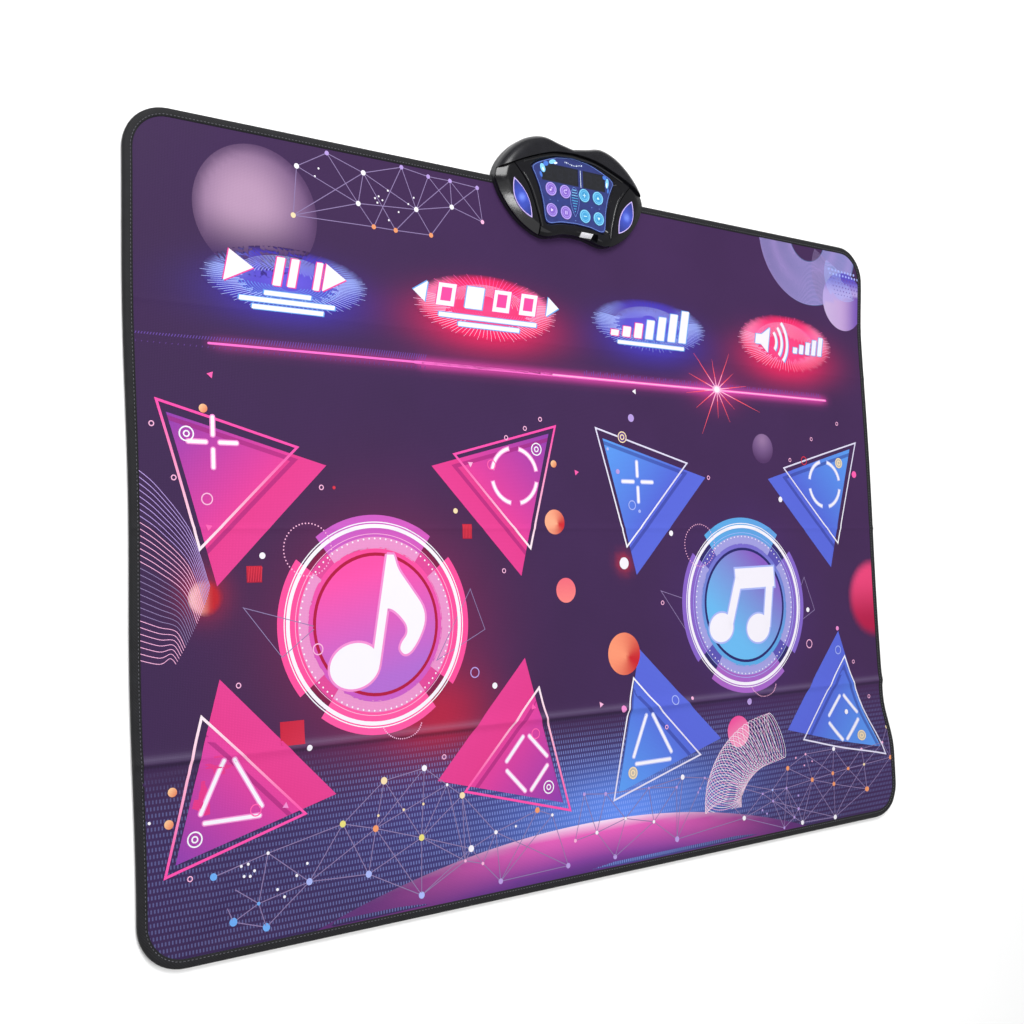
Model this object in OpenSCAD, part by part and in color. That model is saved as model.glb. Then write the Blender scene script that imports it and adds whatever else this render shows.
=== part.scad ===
// A two-player dance mat: a soft floor mat in three hinged panels, with a small battery console
// clamped over its far edge. X runs side to side, +Y points from the players to the console, +Z is up.
// Inside the modules y = 0 is the first crease; seated() moves everything to the part's own origin,
// the middle of its footprint on the floor.

/* [Mat] */
// Width of the mat
mat_w = 1200; // [1000:10:1600]
// Depth of the upper panel, which carries the console
upper_d = 450; // [360:5:600]
// Depth of the middle panel, between the two creases
middle_d = 240; // [180:5:320]
// Depth of the lower panel
lower_d = 210; // [160:5:280]
// Open width of each crease
crease_gap = 3; // [2:0.5:5]
// Corner radius of the mat
corner_r = 50; // [25:5:80]

/* [Layers] */
// Thickness of the printed cover cloth
cover_t = 0.6; // [0.4:0.1:1]
// Thickness of each contact film
film_t = 0.2; // [0.1:0.05:0.4]
// Thickness of the open foam that keeps the two films apart
spacer_t = 1; // [0.8:0.1:2]
// Thickness of the cushion foam
cushion_t = 3.2; // [2:0.2:8]
// Thickness of the non-slip backing
backing_t = 0.8; // [0.6:0.1:1.5]
// Thickness of the conductive ink patches
patch_t = 0.1; // [0.05:0.05:0.2]
// Width of the edge binding seen from above
binding_w = 10; // [6:1:16]
// Thickness of the binding tape
binding_t = 0.6; // [0.4:0.1:1]

/* [Contacts] */
// Radius of a step arrow's contact patch
arrow_patch_r = 26; // [18:1:30]
// Radius of the patch in the middle of a player's ring
ring_patch_r = 60; // [40:1:72]
// Half length of a control key's patch on the mat
control_patch_r = 24; // [16:1:28]
// Distance between the two players' rings
player_pitch = 604; // [480:1:720]

/* [Console] */
// Width of the console
console_w = 250; // [208:1:300]
// How far the console lies over the mat
console_reach = 72; // [60:1:88]
// How far the console stands out past the mat
console_overhang = 62; // [51:1:76]
// Height of the wall that the upper shells stand on, above the mat
base_wall_h = 6; // [5.5:0.5:8]
// Wall thickness of the base and the shells
shell_t = 2; // [1.6:0.1:2.4]
// Thickness of the base's floor
floor_t = 1.6; // [1.2:0.1:2]
// Height of the rubber feet under the overhang
foot_h = 1; // [0.8:0.1:2]
// Gap seen between two shells
seam = 0.4; // [0.2:0.1:0.8]
// How far the crest stands above the panel frame
crest_rise = 4; // [2:0.5:8]
// Share by which the shells draw in from the outline to their top
shoulder = 0.16; // [0.1:0.01:0.2]

/* [Keys and displays] */
// Radius of a key
key_r = 9; // [6:0.5:10.8]
// Key travel
key_travel = 0.7; // [0.4:0.1:1]
// How far a key stands above the panel
key_proud = 1; // [1:0.1:2]
// Clearance round a key and above its flange
key_gap = 0.3; // [0.2:0.05:0.5]
// Width of the flange that holds a key in
flange_w = 1.2; // [0.8:0.1:1.4]
// Thickness of the printed control panel
panel_t = 1.2; // [0.8:0.1:2]
// Depth of a display window, front to back
display_d = 22; // [16:1:24]
// Thickness of a display module
display_t = 2.6; // [1.8:0.1:3]

/* [Electronics] */
// Thickness of the circuit board
board_t = 1.6; // [1:0.1:2]
// Height of a tactile switch
switch_h = 3.5; // [2.5:0.1:5]
// Radius of a battery cell
cell_r = 5.25; // [5:0.05:5.5]
// Length of a battery cell
cell_l = 44.5; // [42:0.5:46]
// Number of cells
cells = 3; // [2:1:3]
// Radius of a loudspeaker
speaker_r = 14; // [10:0.5:16]
// Thickness of a loudspeaker
speaker_t = 4; // [3:0.2:4.2]
// Travel of the battery door
door_travel = 48; // [40:1:60]
// Travel of the power switch
power_travel = 5; // [3:0.5:6]

/* [Hidden] */
$fn = 48;

// Heights of the mat's layers, from the floor up.
cushion_z = backing_t;
circuit_z = cushion_z + cushion_t;
spacer_z = circuit_z + film_t;
contact_z = spacer_z + spacer_t;
cover_z = contact_z + film_t;
mat_t = cover_z + cover_t;
front_d = middle_d + lower_d;
edge_wall = 1;
seated_y = -(upper_d + console_overhang - front_d) / 2;

// Heights in the console, from the mat up.
base_z = mat_t;
split_z = base_z + base_wall_h;
boss_h = 2.4;
board_z = base_z + floor_t + boss_h;
switch_z = board_z + board_t;
press_gap = key_travel + 0.2;
key_z = switch_z + switch_h + press_gap;
flange_t = 1.7;
panel_z = key_z + flange_t + key_gap;
panel_top = panel_z + panel_t;
frame_top = panel_top + 1.8;
pod_top = frame_top - 0.5;
crest_top = frame_top + crest_rise;
ledge_t = 1.5;
ledge_w = 1.2;
lens_t = 1.8;
lens_z = pod_top - lens_t + 0.2;
lens_ledge = 2;
screw_r = 1.5;
clamp_t = 3;
clamp_d = 26;
clamp_w = console_w * 0.7;
clamp_y = upper_d - 32;
clamp_screw_x = [-0.3 * console_w, 0, 0.3 * console_w];
clamp_boss_h = board_z - base_z - 0.2;
head_r = 3;
head_t = 1.4;
case_head_r = 2.6;
pilot_r = screw_r - 0.3;

// The flat lead from the films up to the board.
ribbon_w = 30;
ribbon_t = 0.3;
ribbon_x = 40;
ribbon_y = upper_d - 24;
ribbon_in = 30;

binding_gap = 0.4;
far = 4 * console_reach;
dome_steps = 5;
dome_y = upper_d - 5;

// The upper and the lower crease, as the middle of the gap.
function panel_span(p) =
    p == 0 ? [crease_gap / 2, upper_d]
    : p == 1 ? [-middle_d + crease_gap / 2, -crease_gap / 2]
    : [-front_d, -middle_d - crease_gap / 2];

// A place on the console: u is -1 to 1 across it, and v is -1 at its front edge, 0 over the mat's edge
// and 1 at its rear edge.
function spot(u, v) = [u * console_w / 2, upper_d + v * (v < 0 ? console_reach : console_overhang)];
function spots(list) = [for (p = list) spot(p[0], p[1])];

// A smooth curve through the points.
function curve_point(a, b, c, d, t) =
    0.5 * (2 * b + (c - a) * t + (2 * a - 5 * b + 4 * c - d) * t * t + (3 * b - a - 3 * c + d) * t * t * t);
function curve(p, steps) = let (last = len(p) - 1) [
    for (i = [0:last - 1]) for (k = [0:steps - 1])
        curve_point(p[max(i - 1, 0)], p[i], p[i + 1], p[min(i + 2, last)], k / steps),
    p[last]
];
function mirrored(p) = [for (i = [len(p) - 1:-1:0]) [-p[i][0], p[i][1]]];
function outline(half) = let (right = curve(half, 3))
    concat(right, [for (p = mirrored(right)) if (abs(p[0]) > 0.01) p]);

// Right halves of the console's outlines, front to back.
body_half = spots([
    [0, -0.90], [0.16, -0.92], [0.30, -0.98], [0.42, -1], [0.56, -0.93], [0.74, -0.74], [0.90, -0.44],
    [0.98, -0.19], [1, 0], [0.93, 0.32], [0.78, 0.65], [0.60, 0.89], [0.40, 1], [0.20, 0.93], [0, 0.86]
]);
panel_half = spots([
    [0, -0.68], [0.20, -0.70], [0.35, -0.75], [0.41, -0.68], [0.43, -0.39], [0.47, -0.11],
    [0.52, 0.11], [0.555, 0.27], [0.51, 0.37], [0.40, 0.47], [0.22, 0.59], [0, 0.64]
]);
// The seam in front of the crest, and the inner side of a pod.
crest_seam = spots([[0, 0.71], [0.29, 0.65], [0.61, 0.44], [0.84, 0.24], [1.1, 0.02]]);
pod_side = spots([[0.47, -1.2], [0.49, -0.80], [0.53, -0.53], [0.61, -0.15], [0.73, 0.15], [0.86, 0.4]]);
// Tips of the right lens.
lens_back = spot(0.80, -0.04);
lens_front = spot(0.59, -0.71);

arrow_spots = [[177, 45], [-175, 45], [-177, -272], [177, -272]];
ring_y = -110;
control_x = [-416, -139, 139, 416];
control_y = 277;

module seated() translate([0, seated_y, 0]) children();

module slab(z, t) translate([0, 0, z]) linear_extrude(height = t) children();

// ---- mat ----

module rounded(inset) {
    w = mat_w - 2 * inset;
    d = upper_d + front_d - 2 * inset;
    r = corner_r - inset;
    translate([0, (upper_d - front_d) / 2]) {
        square([w, d - 2 * r], center = true);
        square([w - 2 * r, d], center = true);
        for (sx = [-1, 1]) for (sy = [-1, 1])
            translate([sx * (w / 2 - r), sy * (d / 2 - r)]) circle(r = r);
    }
}

module panel_shape(p, inset) {
    span = panel_span(p);
    intersection() {
        rounded(inset);
        translate([-mat_w / 2, span[0]]) square([mat_w, span[1] - span[0]]);
    }
}

module patch_shapes(p, grow) {
    span = panel_span(p);
    for (side = [-1, 1]) {
        for (a = arrow_spots) if (a[1] > span[0] && a[1] < span[1])
            translate([side * player_pitch / 2 + a[0], a[1]]) circle(r = arrow_patch_r + grow);
        if (p == 1) translate([side * player_pitch / 2, ring_y]) circle(r = ring_patch_r + grow);
    }
    if (p == 0) for (x = control_x) translate([x, control_y]) circle(r = control_patch_r + grow);
}

// The slot under the console that the ribbon and the clamp's screws come up through.
module clamp_holes() {
    for (x = clamp_screw_x) translate([x, clamp_y]) circle(r = screw_r + 0.5);
}
module ribbon_slot() translate([ribbon_x - ribbon_w / 2 - 1, ribbon_y - 1]) square([ribbon_w + 2, 3]);
// The lead runs in a channel through the spacer foam.
module ribbon_channel() {
    translate([ribbon_x - ribbon_w / 2 - 0.5, ribbon_y - ribbon_in - 0.5]) square([ribbon_w + 1, ribbon_in + 1]);
}

module layer(p, z, t, inset, c, holes = true) {
    color(c) seated() slab(z, t) difference() {
        panel_shape(p, inset);
        if (p == 0 && holes) {
            clamp_holes();
            ribbon_slot();
        }
    }
}

module cover(p) layer(p, cover_z, cover_t, edge_wall, "#432a55");

module contact_film(p) layer(p, contact_z, film_t, edge_wall, "#d8dde0");

module circuit_film(p) layer(p, circuit_z, film_t, edge_wall, "#cfd6c8");

module spacer_foam(p) {
    color("#e8e4dc") seated() slab(spacer_z, spacer_t) difference() {
        panel_shape(p, edge_wall);
        patch_shapes(p, 2);
        if (p == 0) {
            clamp_holes();
            ribbon_slot();
            ribbon_channel();
        }
    }
}

module contact_patches(p) color("#3c3c40") seated() {
    slab(spacer_z, patch_t) patch_shapes(p, 0);
    slab(contact_z - patch_t, patch_t) patch_shapes(p, 0);
}

// The clamp bar is let into the cushion, so the layers above it stay flat.
module clamp_shape(grow) {
    translate([-clamp_w / 2 - grow, clamp_y - clamp_d / 2 - grow])
        square([clamp_w + 2 * grow, clamp_d + 2 * grow]);
}

module cushion(p) color("#6b6f78") seated() difference() {
    slab(cushion_z, cushion_t) panel_shape(p, edge_wall);
    if (p == 0) slab(cushion_z - 1, clamp_t + 1 + seam) clamp_shape(0.5);
    if (p == 0) slab(cushion_z, cushion_t + 1) {
        clamp_holes();
        ribbon_slot();
    }
}

module backing(p) layer(p, 0, backing_t, binding_w, "#26262a", false);

module binding(p) color("#2b2b2e") seated() {
    slab(0, backing_t) difference() {
        panel_shape(p, 0);
        rounded(binding_w);
    }
    slab(backing_t, mat_t - backing_t) difference() {
        panel_shape(p, 0);
        rounded(edge_wall);
    }
    slab(mat_t, binding_t) difference() {
        panel_shape(p, 0);
        rounded(binding_w);
    }
}

// ---- console to mat ----

module tail_ribbon() color("#c9c2a8") seated() translate([ribbon_x - ribbon_w / 2, 0, 0]) {
    translate([0, ribbon_y - ribbon_in, contact_z - film_t]) cube([ribbon_w, ribbon_in + ribbon_t, film_t]);
    translate([0, ribbon_y, contact_z - film_t]) cube([ribbon_w, ribbon_t, board_z - contact_z + film_t]);
}

module clamp_bar() color("#b9bcc2") seated() difference() {
    slab(cushion_z, clamp_t) clamp_shape(0);
    slab(cushion_z - 1, clamp_t + 2) for (x = clamp_screw_x)
        translate([x, clamp_y]) circle(r = screw_r + 0.2);
    for (x = clamp_screw_x) translate([x, clamp_y, cushion_z - 0.01])
        cylinder(r = head_r + 0.2, h = head_t + 0.01);
}

module clamp_screws() color("silver") seated() for (x = clamp_screw_x) translate([x, clamp_y, 0]) {
    translate([0, 0, cushion_z]) cylinder(r = head_r, h = head_t);
    translate([0, 0, cushion_z]) cylinder(r = screw_r, h = board_z - 0.4 - cushion_z);
}

// ---- console shells ----

module body_shape() polygon(outline(body_half));
module panel_outline() polygon(outline(panel_half));

// Everything in front of the crest's seam.
module front_region() {
    right = curve(crest_seam, 6);
    polygon(concat([[-far, upper_d - far]], mirrored(right), right, [[far, upper_d - far]]));
}

// Everything outside the inner side of the right pod.
module right_region() {
    side = curve(pod_side, 5);
    polygon(concat(side, [[far, upper_d + console_overhang], [far, upper_d - far]]));
}

module left_region() mirror([1, 0]) right_region();

module pod_region() difference() {
    intersection() {
        front_region();
        right_region();
    }
    seam_line();
}

// The two seams as thin strips.
module seam_line() {
    difference() {
        offset(delta = seam / 2) front_region();
        offset(delta = -seam / 2) front_region();
    }
    difference() {
        offset(delta = seam / 2) right_region();
        offset(delta = -seam / 2) right_region();
    }
}

module frame_region() difference() {
    offset(delta = -seam / 2) front_region();
    offset(delta = seam / 2) right_region();
    offset(delta = seam / 2) left_region();
}

// A closed solid through equal rings of points, bottom ring first.
module loft(rings) {
    n = len(rings[0]);
    last = (len(rings) - 1) * n;
    polyhedron([for (r = rings) each r], concat(
        [[for (i = [0:n - 1]) i], [for (i = [n - 1:-1:0]) last + i]],
        [for (k = [0:n:last - n]) for (i = [0:n - 1]) let (j = (i + 1) % n)
            [k + i, k + n + i, k + n + j, k + j]]
    ));
}

// The body's outline, drawn in as it rises like a quarter of an ellipse. The inner one is a wall smaller.
module dome(bottom, top, wall = 0) {
    ring = outline(body_half);
    smaller = 1 - 2.4 * wall / console_w;
    loft([for (k = [0:dome_steps]) let (a = 90 * k / dome_steps, s = smaller * (1 - shoulder * (1 - cos(a))))
        [for (p = ring) [p[0] * s, dome_y + (p[1] - dome_y) * s, bottom + (top - bottom) * sin(a)]]]);
}

module crest_shell() color("#3a3a42") seated() difference() {
    dome(split_z, crest_top);
    translate([0, 0, -0.01]) dome(split_z, crest_top - shell_t, shell_t);
    slab(split_z - 1, crest_top) offset(delta = seam / 2) front_region();
}

// Place of the power switch on the sloped front of the panel frame.
power_spot = spot(0.17, -0.83);
module at_power() translate([power_spot[0], power_spot[1], split_z + 4.2]) rotate([48, 0, 0]) children();
land_w = 20 + power_travel + 5;
land_d = 9;

module panel_frame() color("#101013") seated() difference() {
    union() {
        difference() {
            intersection() {
                dome(split_z, frame_top);
                slab(split_z - 1, crest_top) frame_region();
            }
            slab(split_z - 1, panel_z - ledge_t - split_z + 1) intersection() {
                offset(delta = -shell_t) frame_region();
                offset(delta = -shell_t - 1) body_shape();
            }
        }
        intersection() {
            dome(split_z, frame_top - 1);
            at_power() translate([-land_w / 2 - 1, -land_d / 2 - 1, -3.5]) cube([land_w + 2, land_d + 2, 6]);
        }
    }
    slab(panel_z - ledge_t - 1, crest_top) offset(delta = -ledge_w) panel_outline();
    slab(panel_z, crest_top) offset(delta = 0.2) panel_outline();
    at_power() translate([-land_w / 2, -land_d / 2, 0]) cube([land_w, land_d, 20]);
    at_power() translate([-stem_w / 2 - 0.5, -2, -8])
        cube([stem_w + power_travel + 1, 4, 9]);
}

module pod() difference() {
    intersection() {
        dome(split_z, pod_top);
        slab(split_z - 1, crest_top) pod_region();
    }
    intersection() {
        translate([0, 0, -0.01]) dome(split_z, lens_z - lens_ledge, shell_t);
        slab(split_z - 1, crest_top) offset(delta = -shell_t) pod_region();
    }
    slab(lens_z, 10) offset(delta = 0.2) lens_shape();
    slab(split_z, 10) offset(delta = -lens_ledge) lens_shape();
}

module right_pod() color("#141417") seated() pod();
module left_pod() color("#141417") seated() mirror([1, 0, 0]) pod();

// A leaf: two arcs through the lens tips, the outer one fuller.
module arc_side(bulge) {
    across = lens_back - lens_front;
    half = norm(across) / 2;
    mid = (lens_back + lens_front) / 2;
    r = (half * half + bulge * bulge) / (2 * abs(bulge));
    out = [across[1], -across[0]] / norm(across);
    translate(mid + out * sign(bulge) * (abs(bulge) - r)) circle(r = r, $fn = 72);
}

module lens_shape() intersection() {
    arc_side(13);
    arc_side(-8);
}

module lens() slab(lens_z, lens_t) lens_shape();
module right_lens() color("#3a48b8") seated() lens();
module left_lens() color("#3a48b8") seated() mirror([1, 0, 0]) lens();

lamp_spot = (lens_back + lens_front) / 2;
lamp_z = lens_z - 4.2;
module lens_lamps() color("#e6e6ea") seated() for (side = [0, 1]) mirror([side, 0, 0])
    translate([lamp_spot[0], lamp_spot[1], 0]) {
        translate([-5, -12, lamp_z]) cube([10, 24, 1]);
        for (y = [-8, 0, 8]) translate([0, y, lamp_z + 1]) cylinder(r = 1.5, h = 1.2);
    }

// ---- console base ----

cell_pitch = 2 * cell_r + 0.6;
door_t = 1.4;
door_z = foot_h;
bay_front = upper_d + 2.5;
bay_wall = 1.5;
bay_d = cells * cell_pitch + 1;
bay_w = cell_l + 6;
bay_top = door_z + door_t + 2 * cell_r + 0.8;
door_w = bay_w + 8;
boss_r = 3;
board_w = console_w * 0.44;
board_front = upper_d - 0.70 * console_reach;
board_back = upper_d - 0.5;
board_boss = [for (sx = [-1, 1]) for (y = [board_front + 5, board_back - 5])
    [sx * (board_w / 2 - 4.5), y]];
case_boss = [for (sx = [-1, 1]) for (p = [spot(0.44, 0.62), spot(0.70, 0.52)]) [sx * p[0], p[1]]];

module door_shape(grow) intersection() {
    translate([-door_w / 2 - grow, bay_front - 1 - grow]) square([door_w + 2 * grow, 200]);
    offset(delta = grow) body_shape();
}

module bosses(list, z, h) for (p = list) translate([p[0], p[1], z]) cylinder(r = boss_r, h = h);
module pilots(list, z, h) for (p = list) translate([p[0], p[1], z]) cylinder(r = pilot_r, h = h);

module console_base() color("#1c1c20") seated() difference() {
    union() {
        // Wall and floor over the mat.
        slab(base_z, base_wall_h) difference() {
            body_shape();
            offset(delta = -shell_t) body_shape();
        }
        slab(base_z, floor_t) intersection() {
            body_shape();
            translate([-far, upper_d - far]) square([2 * far, far + 1]);
        }
        // The overhang goes down to the feet.
        slab(foot_h, split_z - foot_h) difference() {
            rear_shape(0);
            rear_shape(shell_t);
        }
        slab(foot_h, floor_t) rear_shape(0);
        bosses(board_boss, base_z, board_z - base_z);
        bosses(case_boss, foot_h, split_z + 4 - foot_h);
        for (x = clamp_screw_x) translate([x, clamp_y, base_z]) cylinder(r = boss_r, h = clamp_boss_h);
        // The battery bay, open to the door.
        translate([-bay_w / 2 - bay_wall, bay_front - bay_wall, foot_h])
            cube([bay_w + 2 * bay_wall, bay_d + 2 * bay_wall, bay_top + 1.2 - foot_h]);
    }
    translate([-bay_w / 2, bay_front, foot_h - 1]) cube([bay_w, bay_d, bay_top - foot_h + 1]);
    // Room for the door and its runners.
    slab(foot_h - 1, door_t + 1.3) door_shape(0.4);
    // Relief for the binding under the floor.
    translate([-far, upper_d - binding_w - 0.5, base_z - 1])
        cube([2 * far, binding_w + 1, 1 + binding_t + binding_gap]);
    translate([-far, 0, 0]) cube([2 * far, upper_d + 0.5, base_z]);
    pilots(board_boss, base_z + 0.8, 20);
    pilots(case_boss, foot_h - 1, 30);
    for (p = case_boss) translate([p[0], p[1], foot_h - 1])
        cylinder(r = case_head_r + 0.1, h = 1 + head_t);
    for (x = clamp_screw_x) translate([x, clamp_y, base_z - 1])
        cylinder(r = screw_r, h = clamp_boss_h + 2);
    slab(base_z - 1, floor_t + 2) ribbon_slot();
    // Sound slots under the loudspeakers.
    for (side = [-1, 1]) for (k = [-1:1])
        translate([side * speaker_spot[0] - 8, speaker_spot[1] + 6 * k - 1, base_z - 1])
            cube([16, 2, floor_t + 2]);
}

module rear_shape(side) intersection() {
    offset(delta = -side) body_shape();
    translate([-far, upper_d + 1 + side]) square([2 * far, far]);
}

module rubber_feet() color("#232325") seated() for (side = [-1, 1]) for (p = [spot(0.40, 0.80), spot(0.84, 0.24)])
    translate([side * p[0], p[1], 0]) cylinder(r = 5, h = foot_h);

module battery_door() color("#1c1c20") seated() slab(door_z, door_t) door_shape(0);

module battery_cells() color("#c8a24a") seated() for (k = [0:cells - 1])
    translate([-cell_l / 2, bay_front + 0.5 + cell_pitch * (k + 0.5), door_z + door_t + 0.4 + cell_r])
        rotate([0, 90, 0]) cylinder(r = cell_r, h = cell_l);

module battery_contacts() color("silver") seated() for (k = [0:cells - 1]) for (side = [-1, 1])
    translate([side * (bay_w / 2 - 0.25) - 0.25, bay_front + 1.5 + cell_pitch * k, door_z + door_t + 2])
        cube([0.5, cell_pitch - 2, 2 * cell_r - 3]);

// ---- electronics ----

module main_board() color("#2f6b3c") seated() difference() {
    translate([-board_w / 2, board_front, board_z]) cube([board_w, board_back - board_front, board_t]);
    pilots(board_boss, board_z - 1, board_t + 2);
}

module board_screws() color("silver") seated() for (p = board_boss) translate([p[0], p[1], board_z]) {
    translate([0, 0, board_t]) cylinder(r = 2.6, h = 1.2);
    translate([0, 0, -2]) cylinder(r = pilot_r, h = board_t + 2);
}

// Keys 1 to 4 are the rear row from the left, and 5 to 8 the front row.
key_u = [-0.32, -0.13, 0.13, 0.32];
key_v = [-0.11, -0.50];
function key_spot(i) = spot(key_u[i % 4], key_v[floor(i / 4)]);

module tact_switches() color("#1b1b1f") seated() for (i = [0:7]) translate(key_spot(i)) {
    translate([-3, -3, switch_z]) cube([6, 6, switch_h - 1]);
    translate([0, 0, switch_z + switch_h - 1]) cylinder(r = 1.7, h = 1);
}

module key(i) color(i % 4 < 2 ? "#a88adf" : "#62c3ee") seated() translate(key_spot(i)) {
    translate([0, 0, key_z]) cylinder(r = key_r + flange_w, h = flange_t);
    translate([0, 0, key_z]) cylinder(r = key_r, h = panel_top + key_proud - key_z);
}

// Each display is a window from u0 to u1 across the console.
display_v = 0.23;
module display_shape(u0, u1, grow) {
    a = spot(u0, display_v);
    b = spot(u1, display_v);
    translate([a[0] - grow, a[1] - display_d / 2 - grow])
        square([b[0] - a[0] + 2 * grow, display_d + 2 * grow]);
}
left_window = [-0.425, 0.055];
right_window = [0.13, 0.425];

module display(span) {
    slab(panel_top - 0.4 - display_t, display_t) display_shape(span[0], span[1], 0);
}
module left_display() color("#15161c") seated() display(left_window);
module right_display() color("#15161c") seated() display(right_window);

module control_panel() color("#2b3278") seated() slab(panel_z, panel_t) difference() {
    panel_outline();
    for (i = [0:7]) translate(key_spot(i)) circle(r = key_r + key_gap);
    for (w = [left_window, right_window]) display_shape(w[0], w[1], 0.1);
}

speaker_spot = spot(0.70, -0.28);
module speaker(side) translate([side * speaker_spot[0], speaker_spot[1], base_z + floor_t]) difference() {
    cylinder(r = speaker_r, h = speaker_t);
    translate([0, 0, -1]) cylinder(r = speaker_r - 3, h = 2.5);
}
module left_speaker() color("#2a2a2e") seated() speaker(-1);
module right_speaker() color("#2a2a2e") seated() speaker(1);

stem_w = 4;
module power_knob() color("#f2f2f5") seated() at_power() {
    translate([-10 - power_travel / 2, -4, 0.3]) cube([20, 8, 1.4]);
    translate([-stem_w / 2, -1.5, -5]) cube([stem_w, 3, 5.4]);
}

module power_switch() color("#505058") seated() at_power()
    translate([-7, -3, -9]) cube([14 + power_travel, 6, 3.6]);

module case_screws() color("silver") seated() for (p = case_boss) translate([p[0], p[1], 0]) {
    translate([0, 0, foot_h]) cylinder(r = case_head_r, h = head_t);
    translate([0, 0, foot_h]) cylinder(r = pilot_r, h = split_z - foot_h);
}

module cover_upper() cover(0);
module cover_middle() cover(1);
module cover_lower() cover(2);
module contact_film_upper() contact_film(0);
module contact_film_middle() contact_film(1);
module contact_film_lower() contact_film(2);
module spacer_foam_upper() spacer_foam(0);
module spacer_foam_middle() spacer_foam(1);
module spacer_foam_lower() spacer_foam(2);
module circuit_film_upper() circuit_film(0);
module circuit_film_middle() circuit_film(1);
module circuit_film_lower() circuit_film(2);
module contact_patches_upper() contact_patches(0);
module contact_patches_middle() contact_patches(1);
module contact_patches_lower() contact_patches(2);
module cushion_upper() cushion(0);
module cushion_middle() cushion(1);
module cushion_lower() cushion(2);
module backing_upper() backing(0);
module backing_middle() backing(1);
module backing_lower() backing(2);
module binding_upper() binding(0);
module binding_middle() binding(1);
module binding_lower() binding(2);

cover_upper();
cover_middle();
cover_lower();
contact_film_upper();
contact_film_middle();
contact_film_lower();
spacer_foam_upper();
spacer_foam_middle();
spacer_foam_lower();
circuit_film_upper();
circuit_film_middle();
circuit_film_lower();
contact_patches_upper();
contact_patches_middle();
contact_patches_lower();
cushion_upper();
cushion_middle();
cushion_lower();
backing_upper();
backing_middle();
backing_lower();
binding_upper();
binding_middle();
binding_lower();
tail_ribbon();
clamp_bar();
clamp_screws();
console_base();
crest_shell();
panel_frame();
control_panel();
left_pod();
right_pod();
left_lens();
right_lens();
lens_lamps();
key(0);  // key_1
key(1);  // key_2
key(2);  // key_3
key(3);  // key_4
key(4);  // key_5
key(5);  // key_6
key(6);  // key_7
key(7);  // key_8
left_display();
right_display();
main_board();
board_screws();
tact_switches();
left_speaker();
right_speaker();
battery_cells();
battery_contacts();
battery_door();
power_knob();
power_switch();
rubber_feet();
case_screws();
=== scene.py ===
# A two-player dance mat with its clamp-on console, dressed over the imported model.
import math
import bmesh
import bpy
from mathutils import Matrix, Vector


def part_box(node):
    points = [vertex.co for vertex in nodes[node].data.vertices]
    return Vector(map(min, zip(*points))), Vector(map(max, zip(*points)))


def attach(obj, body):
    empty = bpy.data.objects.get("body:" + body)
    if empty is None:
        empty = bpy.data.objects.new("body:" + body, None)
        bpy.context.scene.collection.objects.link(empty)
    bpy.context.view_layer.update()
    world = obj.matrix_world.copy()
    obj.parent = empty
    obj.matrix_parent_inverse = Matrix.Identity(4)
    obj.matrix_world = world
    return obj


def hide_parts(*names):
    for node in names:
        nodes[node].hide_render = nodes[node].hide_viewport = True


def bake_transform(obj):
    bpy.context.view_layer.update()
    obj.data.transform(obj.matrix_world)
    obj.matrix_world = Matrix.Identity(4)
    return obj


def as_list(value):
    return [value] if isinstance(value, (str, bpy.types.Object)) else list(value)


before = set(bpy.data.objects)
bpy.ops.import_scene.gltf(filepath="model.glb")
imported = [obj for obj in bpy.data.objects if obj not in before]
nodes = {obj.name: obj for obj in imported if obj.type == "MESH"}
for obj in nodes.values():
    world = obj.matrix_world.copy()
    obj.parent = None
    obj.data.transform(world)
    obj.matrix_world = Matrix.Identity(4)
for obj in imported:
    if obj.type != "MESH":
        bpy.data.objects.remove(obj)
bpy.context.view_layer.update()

mm = 0.001

# The mat's own measures, in millimetres from its middle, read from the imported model.
upperLow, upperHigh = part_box("binding_upper")
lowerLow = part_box("binding_lower")[0]
bindingGap = 1.5  # the binding's lengths stop this far short of a crease
mat = {
    "middleY": upperLow.y / mm - bindingGap,
    "halfWidth": upperHigh.x / mm,
    "corner": 50,
    "creases": (240, 0, -240),
    "split": -120,
    "top": 6.3,
}
mat["far"] = upperHigh.y / mm - mat["middleY"]
mat["near"] = lowerLow.y / mm - mat["middleY"]


def toFrame(x, y, z=0):
    return Vector((x, y + mat["middleY"], z)) * mm


def linear(code):
    values = [int(code[i:i + 2], 16) / 255 for i in (1, 3, 5)]
    return [v / 12.92 if v <= 0.04045 else ((v + 0.055) / 1.055) ** 2.4 for v in values] + [1]


def mix(a, b, share):
    share = min(max(share, 0), 1)
    a, b = (linear(c) if isinstance(c, str) else c for c in (a, b))
    return [p + (q - p) * share for p, q in zip(a, b)]


def ease(t):
    t = min(max(t, 0), 1)
    return t * t * (3 - 2 * t)


# The weave soaks up part of every ink, so all the print is laid a little darker than its swatch.
def printed(colour, soak=0.78):
    colour = linear(colour) if isinstance(colour, str) else colour
    return [c * soak for c in colour[:3]] + [1]


# Height of the laid cloth: long low waves, a sharp fold line and two faint ones, and a pulled corner.
# Heights and reaches are in millimetres. The cloth lies flat at its edge and under the console.
waves = {
    "low": 0.45, "flatEdge": 6, "calmReach": 40, "consoleHalf": 120, "consoleFront": 372,
    "fold": 2.9, "foldAt": -240, "above": 17, "below": 9, "faint": 0.8, "faintReach": 7,
    "corner": 2.8, "side": 1.2, "sideFold": 1.3, "hem": 1.4,
}


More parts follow.
